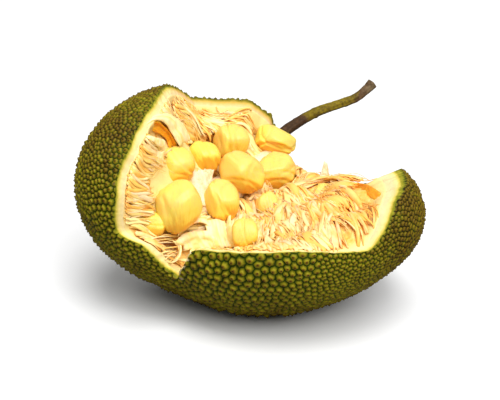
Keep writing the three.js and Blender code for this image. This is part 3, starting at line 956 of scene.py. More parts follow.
def make_bulb(number, settings):
    """One bulb. Its radius along a direction u is (sum over its planes of the cosine of u and
    the plane, where positive, over the plane's distance, to the power p) to the power -1/p,
    less grooves along its creases and a few fine ones from root to crown, with small lumps
    and a nib at the crown."""
    rng = np.random.default_rng(100 + number)
    middle, size, crown, planes, creases = BULBS[number]
    rows, columns = 64, 84
    axes = crown_axes(crown)
    half = np.array([size[1], size[0], size[2]]) / 2
    fall, turn, along = globe(rows, columns)
    round_x, round_y = np.sin(fall) * np.cos(turn), np.sin(fall) * np.sin(turn)
    local = np.stack([round_x, along, round_y], axis=-1).reshape(-1, 3)
    local = np.concatenate([local, [[0, -1, 0], [0, 1, 0]]])
    ways = unit((local * half) @ axes)
    backs = [(turned, -50, half.min() + 1) for turned in (90, 210, 330)]  # close the back
    turns, leans, distances = np.array([*planes, *backs], float).T
    share = np.maximum(ways @ seen_way(turns, leans).T, 0) / distances
    radius = 1.035 * (share ** BULB_SHARPNESS).sum(1) ** (-1 / BULB_SHARPNESS)
    for turned, lean, level, depth in creases:
        gap = ways @ seen_way(np.array(turned), np.array(lean)) - level
        gap = gap + 0.05 * noise(ways * 30, 14.0, 70 + number)
        groove = 0.8 * np.exp(-(gap / 0.07) ** 2) - 0.3 * np.exp(-((gap + 0.17) / 0.12) ** 2)
        radius -= settings.creases / CREASE_SHARE * depth * groove
    grooves = np.zeros_like(along)
    for _ in range(5):
        bend = rng.uniform(0, 2 * math.pi) + rng.uniform(-0.5, 0.5) * along
        gap = np.angle(np.exp(1j * (turn - bend)))
        grooves += rng.uniform(0.3, 0.9) * np.exp(-(gap / rng.uniform(0.05, 0.12)) ** 2)
    grooves = (grooves * np.sin(fall) ** 0.7).ravel()
    radius[:-2] *= 1 - settings.creases * 0.6 * grooves
    nib = np.exp(-((1 - local[:, 1]) / 0.012)) - 0.5 * np.exp(-((1 - local[:, 1]) / 0.06))
    radius += 0.9 * nib
    points = ways * radius[:, None]
    points *= 1 + 0.035 * noise(points + 40, 15.0, number)[:, None] \
        + 0.012 * noise(points + 90, 5.0, 50 + number)[:, None]
    wide = np.sin(fall) + 1e-6
    tone = WARM_BULBS.get(number, rng.uniform(0, 1))
    # inner is 0 on a bulb; on the hood and slit sheets it is 1, which paints them a darker shade.
    marks = {"along": np.concatenate([along.ravel(), [-1, 1]]),
             "round_x": np.concatenate([(round_x / wide).ravel(), [0, 0]]),
             "round_y": np.concatenate([(round_y / wide).ravel(), [0, 0]]),
             "tone": np.full(len(points), tone), "inner": np.zeros(len(points))}
    name = f"bulb_{number + 1:02d}"
    material = finish("golden_bulb", bulb_material, settings)
    faces = globe_faces(rows, columns, turned=True)
    return new_piece(f"{name}_flesh", points + middle, faces, material, (name,), marks)


def bulb_material(name, settings):
    """Waxy golden flesh with faint lengthwise fibres, with painted light making it paler yellow
    where it faces up and painted shade making it orange underneath; orange at the root too."""
    material, tree, shader, place = new_material(name)
    along, tone = mark(tree, "along"), mark(tree, "tone")
    facing = add_node(tree, "ShaderNodeNewGeometry").outputs["Normal"]
    up = add_node(tree, "ShaderNodeSeparateXYZ", {"Vector": facing}).outputs[2]
    _, broad, small = mottle(tree, place, 60, 700)
    grain = add_node(tree, "ShaderNodeCombineXYZ", {
        "X": mark(tree, "round_x"), "Y": mark(tree, "round_y"),
        "Z": calculate(tree, "MULTIPLY", along, 0.12)}).outputs[0]
    fibres = calculate(tree, "MULTIPLY", noise_value(tree, grain, 14, 4), 0.75)
    fine = raised_by(tree, fibres, small, 0.25)
    # Painted light and shade: paler where the normal faces up, orange where it faces down.
    shade_and_warmth = shifted_by(tree, map_range(tree, up, 0.35, -0.75), broad, 0.5, 1.1)
    shade_and_warmth = calculate(tree, "ADD", shade_and_warmth, map_range(tree, along, -0.35, -1.0, 0.0, 0.6))
    shade_and_warmth = shifted_by(tree, shade_and_warmth, fine, 0.5, 1.0)
    shade_and_warmth = shifted_by(tree, shade_and_warmth, tone, 0.5, 0.3)
    # Painted shade: the sheets of the hood's hollow and the slit, marked inner, turn more orange.
    shade_and_warmth = raised_by(tree, shade_and_warmth, mark(tree, "inner"), 0.9, clamp=True)
    # The last, darkest stop holds the painted shade underneath and in the hollows.
    colour = colour_ramp(tree, shade_and_warmth, [
        (0.0, settings.pale), (0.35, settings.golden), (0.7, settings.orange),
        (1.0, [0.93 * settings.orange[0], 0.72 * settings.orange[1], 0.5 * settings.orange[2]]),
    ])
    # Painted shade, darker still, on the sheets of the hood's hollow and the slit.
    colour = blend_colours(tree, mark(tree, "inner"), colour, (1.0, 0.72, 0.3), "MULTIPLY")
    tree.links.new(colour, shader.inputs["Base Color"])
    shader.inputs["Roughness"].default_value = 0.38
    shader.inputs["Subsurface Weight"].default_value = 0.35
    shader.inputs["Subsurface Radius"].default_value = (1.0, 0.45, 0.08)
    shader.inputs["Subsurface Scale"].default_value = 0.006
    shader.inputs["Specular IOR Level"].default_value = 0.4
    add_bump(tree, shader, fine, 0.0009, 0.5)
    return material


def make_core(settings):
    """The pith core: an oval spindle from front to back whose radius is lumpy and pitted."""
    rows, columns = 90, 72
    axis = CORE_BACK - CORE_FRONT
    long = unit(axis)
    level = unit(np.cross((0, 0, 1), long))
    up = np.cross(long, level)
    fall, turn, along = globe(rows, columns)
    centre = (CORE_FRONT + CORE_BACK) / 2
    reach = np.linalg.norm(axis) / 2
    out = np.sin(fall)[..., None] * (np.cos(turn)[..., None] * level * CORE_HALF[0]
                                     + np.sin(turn)[..., None] * up * CORE_HALF[1])
    points = centre + along[..., None] * reach * long + out
    points = np.concatenate([points.reshape(-1, 3), [centre - reach * long, centre + reach * long]])
    lumps = 1.2 * noise(points, 9.0, 31) + 0.8 * noise(points, 3.5, 32)
    points += unit(points - (centre + ((points - centre) @ long)[:, None] * long * 0.97)) \
        * lumps[:, None]
    faces = globe_faces(rows, columns, turned=False)
    material = finish("spongy_pith", pith_material, settings)
    return new_piece("core_pith", points, faces, material, ("core",))


def pith_material(name, settings):
    """Spongy white-pink pith with small pores."""
    material, tree, shader, place = new_material(name)
    value, _, fine = mottle(tree, place, 120, 650)
    colour = colour_ramp(tree, value, [
        (0.30, (0.88, 0.45, 0.16)), (0.44, settings.pith_warm), (0.56, settings.pith),
        (0.75, [min(1.0, part * 1.12) for part in settings.pith]),
    ])
    tree.links.new(colour, shader.inputs["Base Color"])
    shader.inputs["Roughness"].default_value = 0.7
    shader.inputs["Specular IOR Level"].default_value = 0.3
    add_bump(tree, shader, fine, 0.0012, 0.8)
    return material


def make_stem(settings):
    """The stem: circles along its curve, wide at the root and at the cut end, with lengthwise
    ridges and faint knots; the cut face is slightly hollow."""
    rows, columns = 120, 40
    path = smooth_path(STEM_LINE, rows)
    tangent = unit(np.gradient(path, axis=0))
    side = unit(np.cross(tangent, (0, 0, 1)))
    up = np.cross(side, tangent)
    t = np.linspace(0, 1, rows)[:, None]
    radius = np.interp(t, (0, 0.18, 0.75, 0.93, 1), (1.7, 1.2, 1.0, 1.02, 1.2)) \
        * settings.stem_width / MM / 2
    turn = np.linspace(0, 2 * math.pi, columns, endpoint=False)
    ridge = 1 + 0.05 * np.cos(5 * turn + 3 * t) + 0.03 * np.cos(9 * turn - 5 * t)
    knots = 1 + 0.10 * np.exp(-((t - 0.45) / 0.012) ** 2) + 0.08 * np.exp(-((t - 0.72) / 0.01) ** 2)
    size = radius * ridge * knots
    points = path[:, None] + size[..., None] * (np.cos(turn)[:, None] * side[:, None]
                                                + np.sin(turn)[:, None] * up[:, None])
    flat = points.reshape(-1, 3)
    flat = flat + 0.25 * noise(flat, 3.0, 41)[:, None] * unit(flat - np.repeat(path, columns, 0))
    inner = path[-1] + (points[-1] - path[-1]) * 0.72 - tangent[-1] * 0.5
    hollow = path[-1] - tangent[-1] * 0.9
    flat = np.concatenate([flat, inner, [path[0], hollow]])
    ring = np.arange(columns)
    last = (rows - 1) * columns + ring
    following = np.roll(last, -1)
    lip = np.stack([last, following, following + columns, last + columns], 1)
    faces = [grid_faces(rows, columns)[:, ::-1], lip[:, ::-1],
             cap_faces(ring, len(flat) - 2, False), cap_faces(last + columns, len(flat) - 1)]
    along = np.concatenate([np.repeat(t, columns), np.full(columns, 1.3), [0, 1.3]])
    material = finish("rough_bark", stem_material, settings)
    return new_piece("stem_bark", flat, faces, material, ("stem",), {"along": along})


def stem_material(name, settings):
    """Bark: red-brown at the root, dark brown, olive-green in the middle and brown again at
    the far end, mottled, with a pale cut face."""
    material, tree, shader, place = new_material(name)
    value, broad, streak = mottle(tree, place, 60, 300, 0.6)
    along = mark(tree, "along")
    shifted = shifted_by(tree, along, broad, 0.5, 0.55)
    bark = colour_ramp(tree, shifted, [
        (0.0, (0.24, 0.10, 0.02)), (0.14, settings.bark), (0.34, settings.bark),
        (0.46, settings.green_bark), (0.72, [1.25 * part for part in settings.green_bark]),
        (0.84, [1.4 * part for part in settings.bark]), (0.98, (0.20, 0.14, 0.07)),
    ])
    dark = map_range(tree, value, 0.62, 0.36, 0.0, 0.75)
    bark = blend_colours(tree, dark, bark, (0.030, 0.016, 0.006))
    far = map_range(tree, along, 1.02, 1.2)
    colour = blend_colours(tree, far, bark, settings.stem_end)
    tree.links.new(colour, shader.inputs["Base Color"])
    shader.inputs["Roughness"].default_value = 0.6
    shader.inputs["Specular IOR Level"].default_value = 0.12
    add_bump(tree, shader, streak, 0.0008, 0.7)
    return material


# ---- The bed and its strands ----

# Which way strands run at places on the bed, from root to tip.
FLOWS = [
    ((-95, -80, 121), (0.64, 0.74, -0.25)), ((-90, -60, 152), (0.66, 0.66, -0.36)),
    ((-79, -15, 157), (0.66, 0.60, -0.42)), ((-65, -2, 173), (0.65, 0.40, -0.60)),
    ((-43, 35, 152), (0.80, 0.10, -0.50)), ((-19, 43, 134), (0.90, -0.20, -0.35)),
    ((10, 56, 118), (0.70, -0.60, -0.20)), ((-50, -84, 84), (0.80, 0.40, 0.20)),
    ((-88, -104, 92), (0.85, 0.20, -0.45)), ((-77, -98, 82), (0.80, 0.15, -0.55)),
    ((-20, -110, 92), (0.15, 0.90, 0.30)), ((30, -115, 93), (-0.25, 0.90, 0.30)),
    ((85, -85, 93), (-0.45, 0.85, 0.35)), ((110, -40, 105), (-0.80, 0.40, 0.30)),
    ((95, 20, 99), (-0.70, -0.40, 0.30)), ((40, 50, 95), (-0.30, -0.80, 0.30)),
    ((-67, -13, 130), (0.70, 0.45, -0.50)), ((0, -40, 90), (-0.20, 0.95, 0.20)),
]


def strand_flow(points, normals):
    """Which way strands run at points: the stated ways, weighted by nearness and laid flat."""
    places = np.array([flow[0] for flow in FLOWS], float)
    ways = unit([flow[1] for flow in FLOWS])
    away = ((points[:, None] - places) ** 2).sum(-1)
    weight = 1 / (away + 100) ** 2
    way = (weight[..., None] * ways).sum(1) / weight.sum(1, keepdims=True)
    way = way - (way * normals).sum(1, keepdims=True) * normals
    return unit(way + 1e-6)


def bed_rim():
    """The bed's outer ring on the rind's cut face, in bed coordinates, and how far each of its
    points lies above the smooth bed."""
    local = to_bed(rim_wall(RIM_DIRECTIONS, share=0.96, aside=0.3)[0])
    return local, local[:, 2] - bed_height(local[:, :2])


def climb_share(away):
    """How much of the rim's climb is left at a distance from the rim: exp(-(away / 6)^1.3)."""
    return np.exp(-(away / 6.0) ** 1.3)


def rim_lift(flat):
    """How far the bed climbs above its smooth height, at flat places near the rim."""
    local, climb = bed_rim()
    lift = []
    for part in np.array_split(flat, 1 + len(flat) // 4000):
        away = np.linalg.norm(part[:, None] - local[None, :, :2], axis=-1)
        near = away.argmin(1)
        lift.append(climb[near] * climb_share(away[np.arange(len(part)), near]))
    return np.concatenate(lift)


def nearness(points, spots):
    """How near points are to (place, radius) spots: 1 in the middle of one, 0 outside all."""
    share = np.zeros(len(points))
    for centre, radius in spots:
        away = np.linalg.norm(points - np.array(centre, float), axis=1)
        share = np.maximum(share, 1 - away / radius)
    return share


def make_bed(settings):
    """The bed: rings from a middle point out to the rind's inner wall, on the blended height,
    with shallow lumps and fine ridges that fade out at the rim; a lower cap closes it."""
    rings, columns = 110, len(BED_EDGE)
    t = np.linspace(0, 1, rings)[1:]
    t = 1 - (1 - t) ** 1.25
    local, climb = bed_rim()
    lip, _ = rim_wall(RIM_DIRECTIONS, share=0.9, aside=-0.2)
    span = local[:, :2]
    flat = (t[:, None, None] * span).reshape(-1, 2)
    gap = ((1 - t)[:, None] * np.linalg.norm(span, axis=1)).ravel()
    points = bed_points(flat)
    climb = np.tile(climb, rings - 1)
    points += OUTWARD * (climb * climb_share(gap))[:, None]
    fade = smoothstep(0.0, 9.0, gap)
    bump = 1.6 * noise(points, 14.0, 51) + 0.9 * noise(points, 4.5, 52) \
        + 0.4 * noise(points, 1.9, 53)
    _, depth, _ = nearest_bulb(points)
    dent = 8.0 * smoothstep(1.35, 0.95, depth)
    for centre, half in HOLLOWS:
        away = np.linalg.norm((points - centre) / half, axis=1)
        dent = np.maximum(dent, 11.0 * smoothstep(1.25, 0.4, away))
    pocket = smoothstep(-0.5, 0.5, nearness(points, POCKETS))
    dent = np.maximum(dent, 5.0 * pocket)
    points += bed_normals(flat) * ((bump - 0.3 - dent) * fade)[:, None]
    lower = HEART + (lip - HEART) * 0.93 - OUTWARD * 14
    top = bed_points(np.zeros((1, 2)))
    deep = HEART[None] - OUTWARD * 10
    count = rings * columns
    points = np.concatenate([points, lip, lower, top, deep])
    ring = np.arange(columns)
    last = count - columns + ring
    following = np.roll(last, -1)
    wall = np.stack([last, following, following + columns, last + columns], 1)
    faces = [grid_faces(rings, columns)[:, ::-1], wall[:, ::-1],
             cap_faces(ring, count + columns, False),
             cap_faces(count + ring, count + columns + 1)]
    # dip_shade is painted shade: the bed darkens where it is dented round the bulbs, in the hollows
    # and in the pockets.
    marks = {"gap": np.concatenate([gap, np.zeros(2 * columns), [99, 0]]),
             "dip_shade": np.concatenate([np.clip(dent / 8, 0, 1), np.zeros(2 * columns + 2)])}
    material = finish("moist_flesh", bed_material, settings)
    return new_piece("bed_flesh", points, faces, material, ("fibre_bed",), marks)


def bed_material(name, settings):
    """Moist cream-yellow flesh with orange patches, painted shade of deep orange and dark
    brown in the dips, and as pale as the cut face near the rim."""
    material, tree, shader, place = new_material(name)
    value, broad, fine = mottle(tree, place, 70, 420, 0.4)
    colour = colour_ramp(tree, value, [
        (0.30, (0.92, 0.34, 0.03)), (0.45, (0.97, 0.50, 0.08)),
        (0.57, (0.99, 0.68, 0.20)), (0.72, (1.0, 0.80, 0.36)),
    ])
    # Painted shade in the dips: deep orange, then dark brown where they are deepest.
    dip_shade = calculate(tree, "MULTIPLY", mark(tree, "dip_shade"), 0.75)
    colour = blend_colours(tree, dip_shade, colour, settings.pocket)
    deep = map_range(tree, mark(tree, "dip_shade"), 0.6, 0.95, 0.0, 0.85)
    colour = blend_colours(tree, deep, colour, (0.30, 0.085, 0.015))
    rim = map_range(tree, raised_by(tree, mark(tree, "gap"), broad, 8.0), 15.0, 5.0)
    colour = blend_colours(tree, rim, colour, (0.96, 0.74, 0.30))
    tree.links.new(colour, shader.inputs["Base Color"])
    shader.inputs["Roughness"].default_value = 0.5
    shader.inputs["Specular IOR Level"].default_value = 0.3
    add_bump(tree, shader, fine, 0.0010, 0.6)
    return material


def strand_material(name, settings):
    """Strands: cream to yellow by tone, pinkish at its end, painted orange shade low down,
    orange in patches, and a little warmer in the right lobe."""
    material, tree, shader, place = new_material(name)
    _, broad, fine = mottle(tree, place, 60, 600)
    cream = colour_ramp(tree, mark(tree, "tone"), [
        (0.0, settings.strand_orange), (0.2, (0.99, 0.67, 0.18)), (0.45, settings.strand_yellow),
        (0.70, settings.strand_cream), (0.86, (1.0, 0.80, 0.46)), (1.0, settings.strand_pink),
    ])
    # Painted shade: strands turn orange where they lie low over the bed, and in random patches.
    low = map_range(tree, mark(tree, "height"), 3.2, 0.0, 0.0, 0.9)
    low = shifted_by(tree, low, broad, 0.53, 3.0, clamp=True)
    sideways = add_node(tree, "ShaderNodeSeparateXYZ", {"Vector": place}).outputs[0]
    right = map_range(tree, sideways, -0.03, 0.03)
    cream = blend_colours(tree, right, cream, (1.0, 0.88, 0.86), "MULTIPLY")
    colour = blend_colours(tree, calculate(tree, "MULTIPLY", low, 0.85), cream, (0.96, 0.46, 0.07))
    tree.links.new(colour, shader.inputs["Base Color"])
    shader.inputs["Roughness"].default_value = 0.5
    shader.inputs["Specular IOR Level"].default_value = 0.3
    add_bump(tree, shader, fine, 0.0003, 0.4)
    return material


def inside_bed(flat, margin=0.0):
    """Whether flat bed places lie inside the rind's inner wall, a margin away from it."""
    edge = BED_EDGE[:, :2]
    inside = inside_outline(flat, edge)
    if margin:
        spot = np.concatenate([nearest_on_outline(part, edge)
                               for part in np.array_split(flat, 1 + len(flat) // 2000)])
        inside &= np.linalg.norm(flat - spot, axis=1) > margin
    return inside


def nearest_bulb(points):
    """How deep points are in their nearest bulb: (its number, 1 on its surface, 0 within)."""
    middles, axes, halves = bulb_frames()
    local = np.einsum("pbk,bjk->pbj", points[:, None] - middles, axes) / halves
    depth = np.linalg.norm(local, axis=-1)
    number = depth.argmin(1)
    return number, depth[np.arange(len(points)), number], middles[number]


def walk(flat, turned, length, steps):
    """Paths along the flow from flat bed places, each turned by an angle and of a length:
    (points, normals), strand by strand and step by step."""
    points, normals = [], []
    for _ in range(steps):
        here, normal = bed_points(flat), bed_normals(flat)
        points.append(here + OUTWARD * rim_lift(flat)[:, None])
        normals.append(normal)
        way = strand_flow(here, normal)
        side = np.cross(normal, way)
        way = way * np.cos(turned)[:, None] + side * np.sin(turned)[:, None]
        stride = way * (length / (steps - 1))[:, None]
        flat = flat + np.stack([stride @ SIDEWAYS, stride @ UPWARD], axis=1)
    return np.stack(points, 1), np.stack(normals, 1)


def ribbons(paths, normals, width, thickness, cup, twist, sides):
    """Closed strands along paths: (points, faces). The section is an ellipse, width by
    thickness at each step, whose middle is raised over its two edges by the cup."""
    tangent = unit(np.gradient(paths, axis=1))
    side = unit(np.cross(normals, tangent))
    up = np.cross(tangent, side)
    angle = twist[..., None]
    level = side * np.cos(angle) + up * np.sin(angle)
    upright = up * np.cos(angle) - side * np.sin(angle)
    turn = np.linspace(0, 2 * math.pi, sides, endpoint=False)
    out = np.cos(turn) * width[..., None] / 2
    rise = np.sin(turn) * thickness[..., None] / 2 + (1 - np.cos(turn) ** 2) * cup[..., None]
    corners = paths[..., None, :] + level[..., None, :] * out[..., None] \
        + upright[..., None, :] * rise[..., None]
    strands, steps = paths.shape[:2]
    number = np.arange(strands * steps * sides).reshape(strands, steps, sides)
    after = np.roll(number, -1, axis=2)
    skin = np.stack([number[:, :-1], after[:, :-1], after[:, 1:], number[:, 1:]], -1)
    return corners.reshape(-1, 3), [skin.reshape(-1, 4), number[:, 0, ::-1], number[:, -1]]


def strand_starts(rng, count, margin):
    """Flat bed places spread evenly over the bed's own slope, a margin from the wall."""
    edge = BED_EDGE[:, :2]
    flat = rng.uniform(edge.min(0), edge.max(0), (count * 9, 2))
    flat = flat[inside_bed(flat, margin)]
    slope = 1 / np.maximum(bed_normals(flat) @ OUTWARD, 0.15)
    chosen = rng.uniform(0, 3.2, len(flat)) < slope
    return flat[chosen][:count]


def rim_starts(low, high, count, margin):
    """Flat bed places along the rim between two azimuths, a margin in from the wall."""
    way = RIM_DIRECTIONS
    azimuth = np.degrees(np.arctan2(way[:, 1], way[:, 0])) % 360
    chosen = np.flatnonzero((azimuth > low) & (azimuth < high))
    place = np.linspace(0, len(chosen) - 1, count)
    edge = BED_EDGE[chosen, :2]
    flat = np.stack([np.interp(place, np.arange(len(chosen)), edge[:, k]) for k in range(2)], 1)
    return flat * (1 - margin / np.linalg.norm(flat, axis=1, keepdims=True))


def make_strands(name, seed, starts, material, *, bunch, fan, width, length, lift, steps, sides,
                 cup=0.2):
    """Bundles of strands on the bed; bunch is how many strands a bundle has. They share a way,
    a lift and a tone, and fan a little; a strand is a ribbon that leaves the bed, arches, and
    ends free or tucked in. In the right lobe they twist more than on the left wall, and lie
    flat in its front corner. Width, length and lift are ranges, and cup is a share of width."""
    rng = np.random.default_rng(seed)
    count = len(starts) * bunch
    of = np.repeat(np.arange(len(starts)), bunch)
    bundle = lambda low, high: rng.uniform(low, high, len(starts))[of]
    single = lambda low, high: rng.uniform(low, high, count)
    flat = starts[of] + rng.normal(0, fan, (count, 2))
    turned = (bundle(-0.4, 0.4) + single(-0.2, 0.2)) * min(1.0, fan / 2.5)
    size = bundle(*length) * single(0.75, 1.15)
    paths, normals = walk(flat, turned, size, steps)
    t = np.linspace(0, 1, steps)[None]
    arch = bundle(*lift) * single(0.5, 1.2)
    free = (bundle(0, 1) < 0.5)[:, None]
    rise = np.where(free, arch[:, None] * t ** 1.4, arch[:, None] * np.sin(math.pi * t) * 0.8)
    rise = rise + single(-0.4, 1.6)[:, None]
    calm = smoothstep(62, 90, paths[:, :1, 0]) * smoothstep(-72, -98, paths[:, :1, 1])
    rise = rise * (1 - 0.85 * calm)
    paths = paths + normals * rise[..., None]
    sway = np.sin(t * single(1, 4)[:, None] + single(0, 6)[:, None]) * single(0.3, 2.2)[:, None]
    side = np.cross(normals, unit(np.gradient(paths, axis=1)))
    curl = single(-1, 1)[:, None] * t ** 2 * (2 + 2.5 * smoothstep(-30, 30, paths[:, :1, 0]))
    paths = paths + side * (sway * t + curl)[..., None]

    flat_paths = paths.reshape(-1, 3)
    number, depth, middle = nearest_bulb(flat_paths)
    push = np.clip(1.05 / np.maximum(depth, 0.05), 1, None)[:, None]
    paths = (middle + (flat_paths - middle) * push).reshape(paths.shape)
    # Strands stay farther from the last three bulbs, which lie low among them.
    room = depth - np.where(number >= len(BULBS) - 3, 0.5, 0.0)
    deep = room.reshape(paths.shape[:2]).min(1)
    inside = inside_bed(to_bed(paths.reshape(-1, 3))[:, :2]).reshape(paths.shape[:2])
    bare = nearness(paths[:, 2:-1].reshape(-1, 3), POCKETS).reshape(len(paths), -1).max(1)
    clear = nearness(paths.reshape(-1, 3), CLEARINGS).reshape(len(paths), -1).max(1) == 0
    kept = (deep > 0.85) & inside[:, 1:].all(1) & (bare < 0.1) & clear
    paths, normals, rise = paths[kept], normals[kept], rise[kept]
    total = kept.sum()
    boat = smoothstep(-30, 30, paths[:, :1, 0])
    wide = single(*width)[kept][:, None] * (0.35 + 0.65 * np.sin(math.pi * (0.1 + 0.86 * t) ** 0.8))
    wide = wide * (0.85 + 0.3 * boat) * (1 - 0.5 * calm[kept])
    twist = single(-1, 1)[kept][:, None] * (0.2 + 0.15 * boat) \
        + single(-1, 1)[kept][:, None] * t * (0.4 + 0.3 * boat)
    cups = wide * (cup * single(-0.3, 1.0)[kept])[:, None]
    points, faces = ribbons(paths, normals, wide, 0.45 + wide * 0.2, cups, twist, sides)
    tone = np.clip(bundle(0, 1) + single(-0.15, 0.15), 0, 1)[kept]
    # height, how far a strand stands off the bed, sets the strand material's painted shade.
    marks = {"along": np.tile(np.repeat(t[0], sides), total),
             "tone": np.repeat(tone, steps * sides),
             "height": np.repeat(rise, sides)}
    return new_piece(name, points, faces, material, (), marks)


def make_torn_strands(seed, numbers, material):
    """Strands stretched across the split's hollow: straight lines between a place on its left
    edge and one by its middle, bowed towards the opening, with a slow sway."""
    rng = np.random.default_rng(seed)
    count, steps, sides = len(numbers), 12, 4
    t = np.linspace(0, 1, steps)[None]
    single = lambda low, high: rng.uniform(low, high, (count, 1))
    start = smooth_path([(-92, -107, 93), (-84, -106, 82), (-72, -106, 67)], 50)
    end = smooth_path([(-68, -88, 87), (-65, -92, 80), (-66, -100, 71)], 50)
    down = (numbers / count * (len(start) - 1)).astype(int)
    first = start[down] + rng.normal(0, 1.0, (count, 3))
    last = end[down] + rng.normal(0, 1.6, (count, 3))
    normal = unit(np.array([0.1, -0.75, 0.65]))
    paths = first[:, None] + t[..., None] * (last - first)[:, None] \
        + (np.sin(math.pi * t) * single(-1, 5))[..., None] * normal
    paths[..., 2] += np.sin(t * single(2, 5) + single(0, 6)) * single(0.3, 1.2)
    normals = np.broadcast_to(normal, paths.shape)
    wide = single(0.8, 2.4) * (1 - 0.55 * t)
    points, faces = ribbons(paths, normals, wide, 0.4 + 0.2 * wide, 0 * wide,
                            single(-0.5, 0.5) + 0 * t, sides)
    tone = np.repeat(single(0.3, 1)[:, 0], steps * sides)
    # height follows the tone here, and sets the strand material's painted shade.
    marks = {"along": np.tile(np.repeat(t[0], sides), count), "tone": tone,
             "height": 1.2 + 2 * tone}
    return new_piece("strands_torn", points, faces, material, (), marks)


def make_all_strands(settings):
    """The kinds of strands: fine ones in the left lobe, finer and pod-like ones in the right,
    broad ones and threads in both, combs that start at the rim on the left wall and in front,
    and a few that are stretched across the split."""
    material = finish("pale_strand", strand_material, settings)
    seed, full = settings.seed, settings.fullness
    broad = settings.strand_width / MM
    places = strand_starts(np.random.default_rng(seed), 620, 2.0)
    left = from_bed(np.concatenate([places, np.zeros((len(places), 1))], 1))[:, 0] < -5
    some = lambda starts: starts[:max(1, int(round(full * len(starts))))]
    make_strands("strands_fine", seed, some(places[left][:260]), material, bunch=8, fan=2.6,
                 width=(1.5, 4.4), length=(18, 36), lift=(0.5, 3), steps=7, sides=5)
    make_strands("strands_boat", seed + 4, some(places[~left][:170]), material, bunch=7, fan=3.5,
                 width=(1.2, 3.2), length=(20, 40), lift=(0.8, 4), steps=8, sides=4)
    make_strands("strands_broad", seed + 1, some(places[300:]), material, bunch=3, fan=4.0,
                 width=(3.5, broad), length=(24, 44), lift=(0.5, 3.5), steps=9, sides=6)
    make_strands("strands_pods", seed + 5, some(places[~left][60:100]), material, bunch=1, fan=4.0,
                 width=(broad, broad + 3), length=(26, 42), lift=(0.5, 3.5), cup=0.35,
                 steps=11, sides=10)
    make_strands("strands_comb", seed + 2, some(rim_starts(186, 243, 90, 0.4)), material, bunch=5,
                 fan=1.2, width=(2.2, 6.0), length=(24, 38), lift=(0.4, 2.4), cup=0.25,
                 steps=9, sides=6)
    make_strands("strands_front", seed + 3, some(rim_starts(246, 303, 52, 1.0)), material, bunch=4,
                 fan=2.2, width=(2.0, broad - 1.5), length=(16, 34), lift=(0.8, 4), cup=0.25,
                 steps=9, sides=6)
    make_strands("strands_threads", seed + 6, some(places[:200]), material, bunch=4, fan=2.0,
                 width=(0.5, 0.9), length=(16, 32), lift=(3, 9), cup=0.0, steps=9, sides=3)
    make_torn_strands(seed + 7, some(np.arange(17.0)), material)


# ---- Loose sheets ----

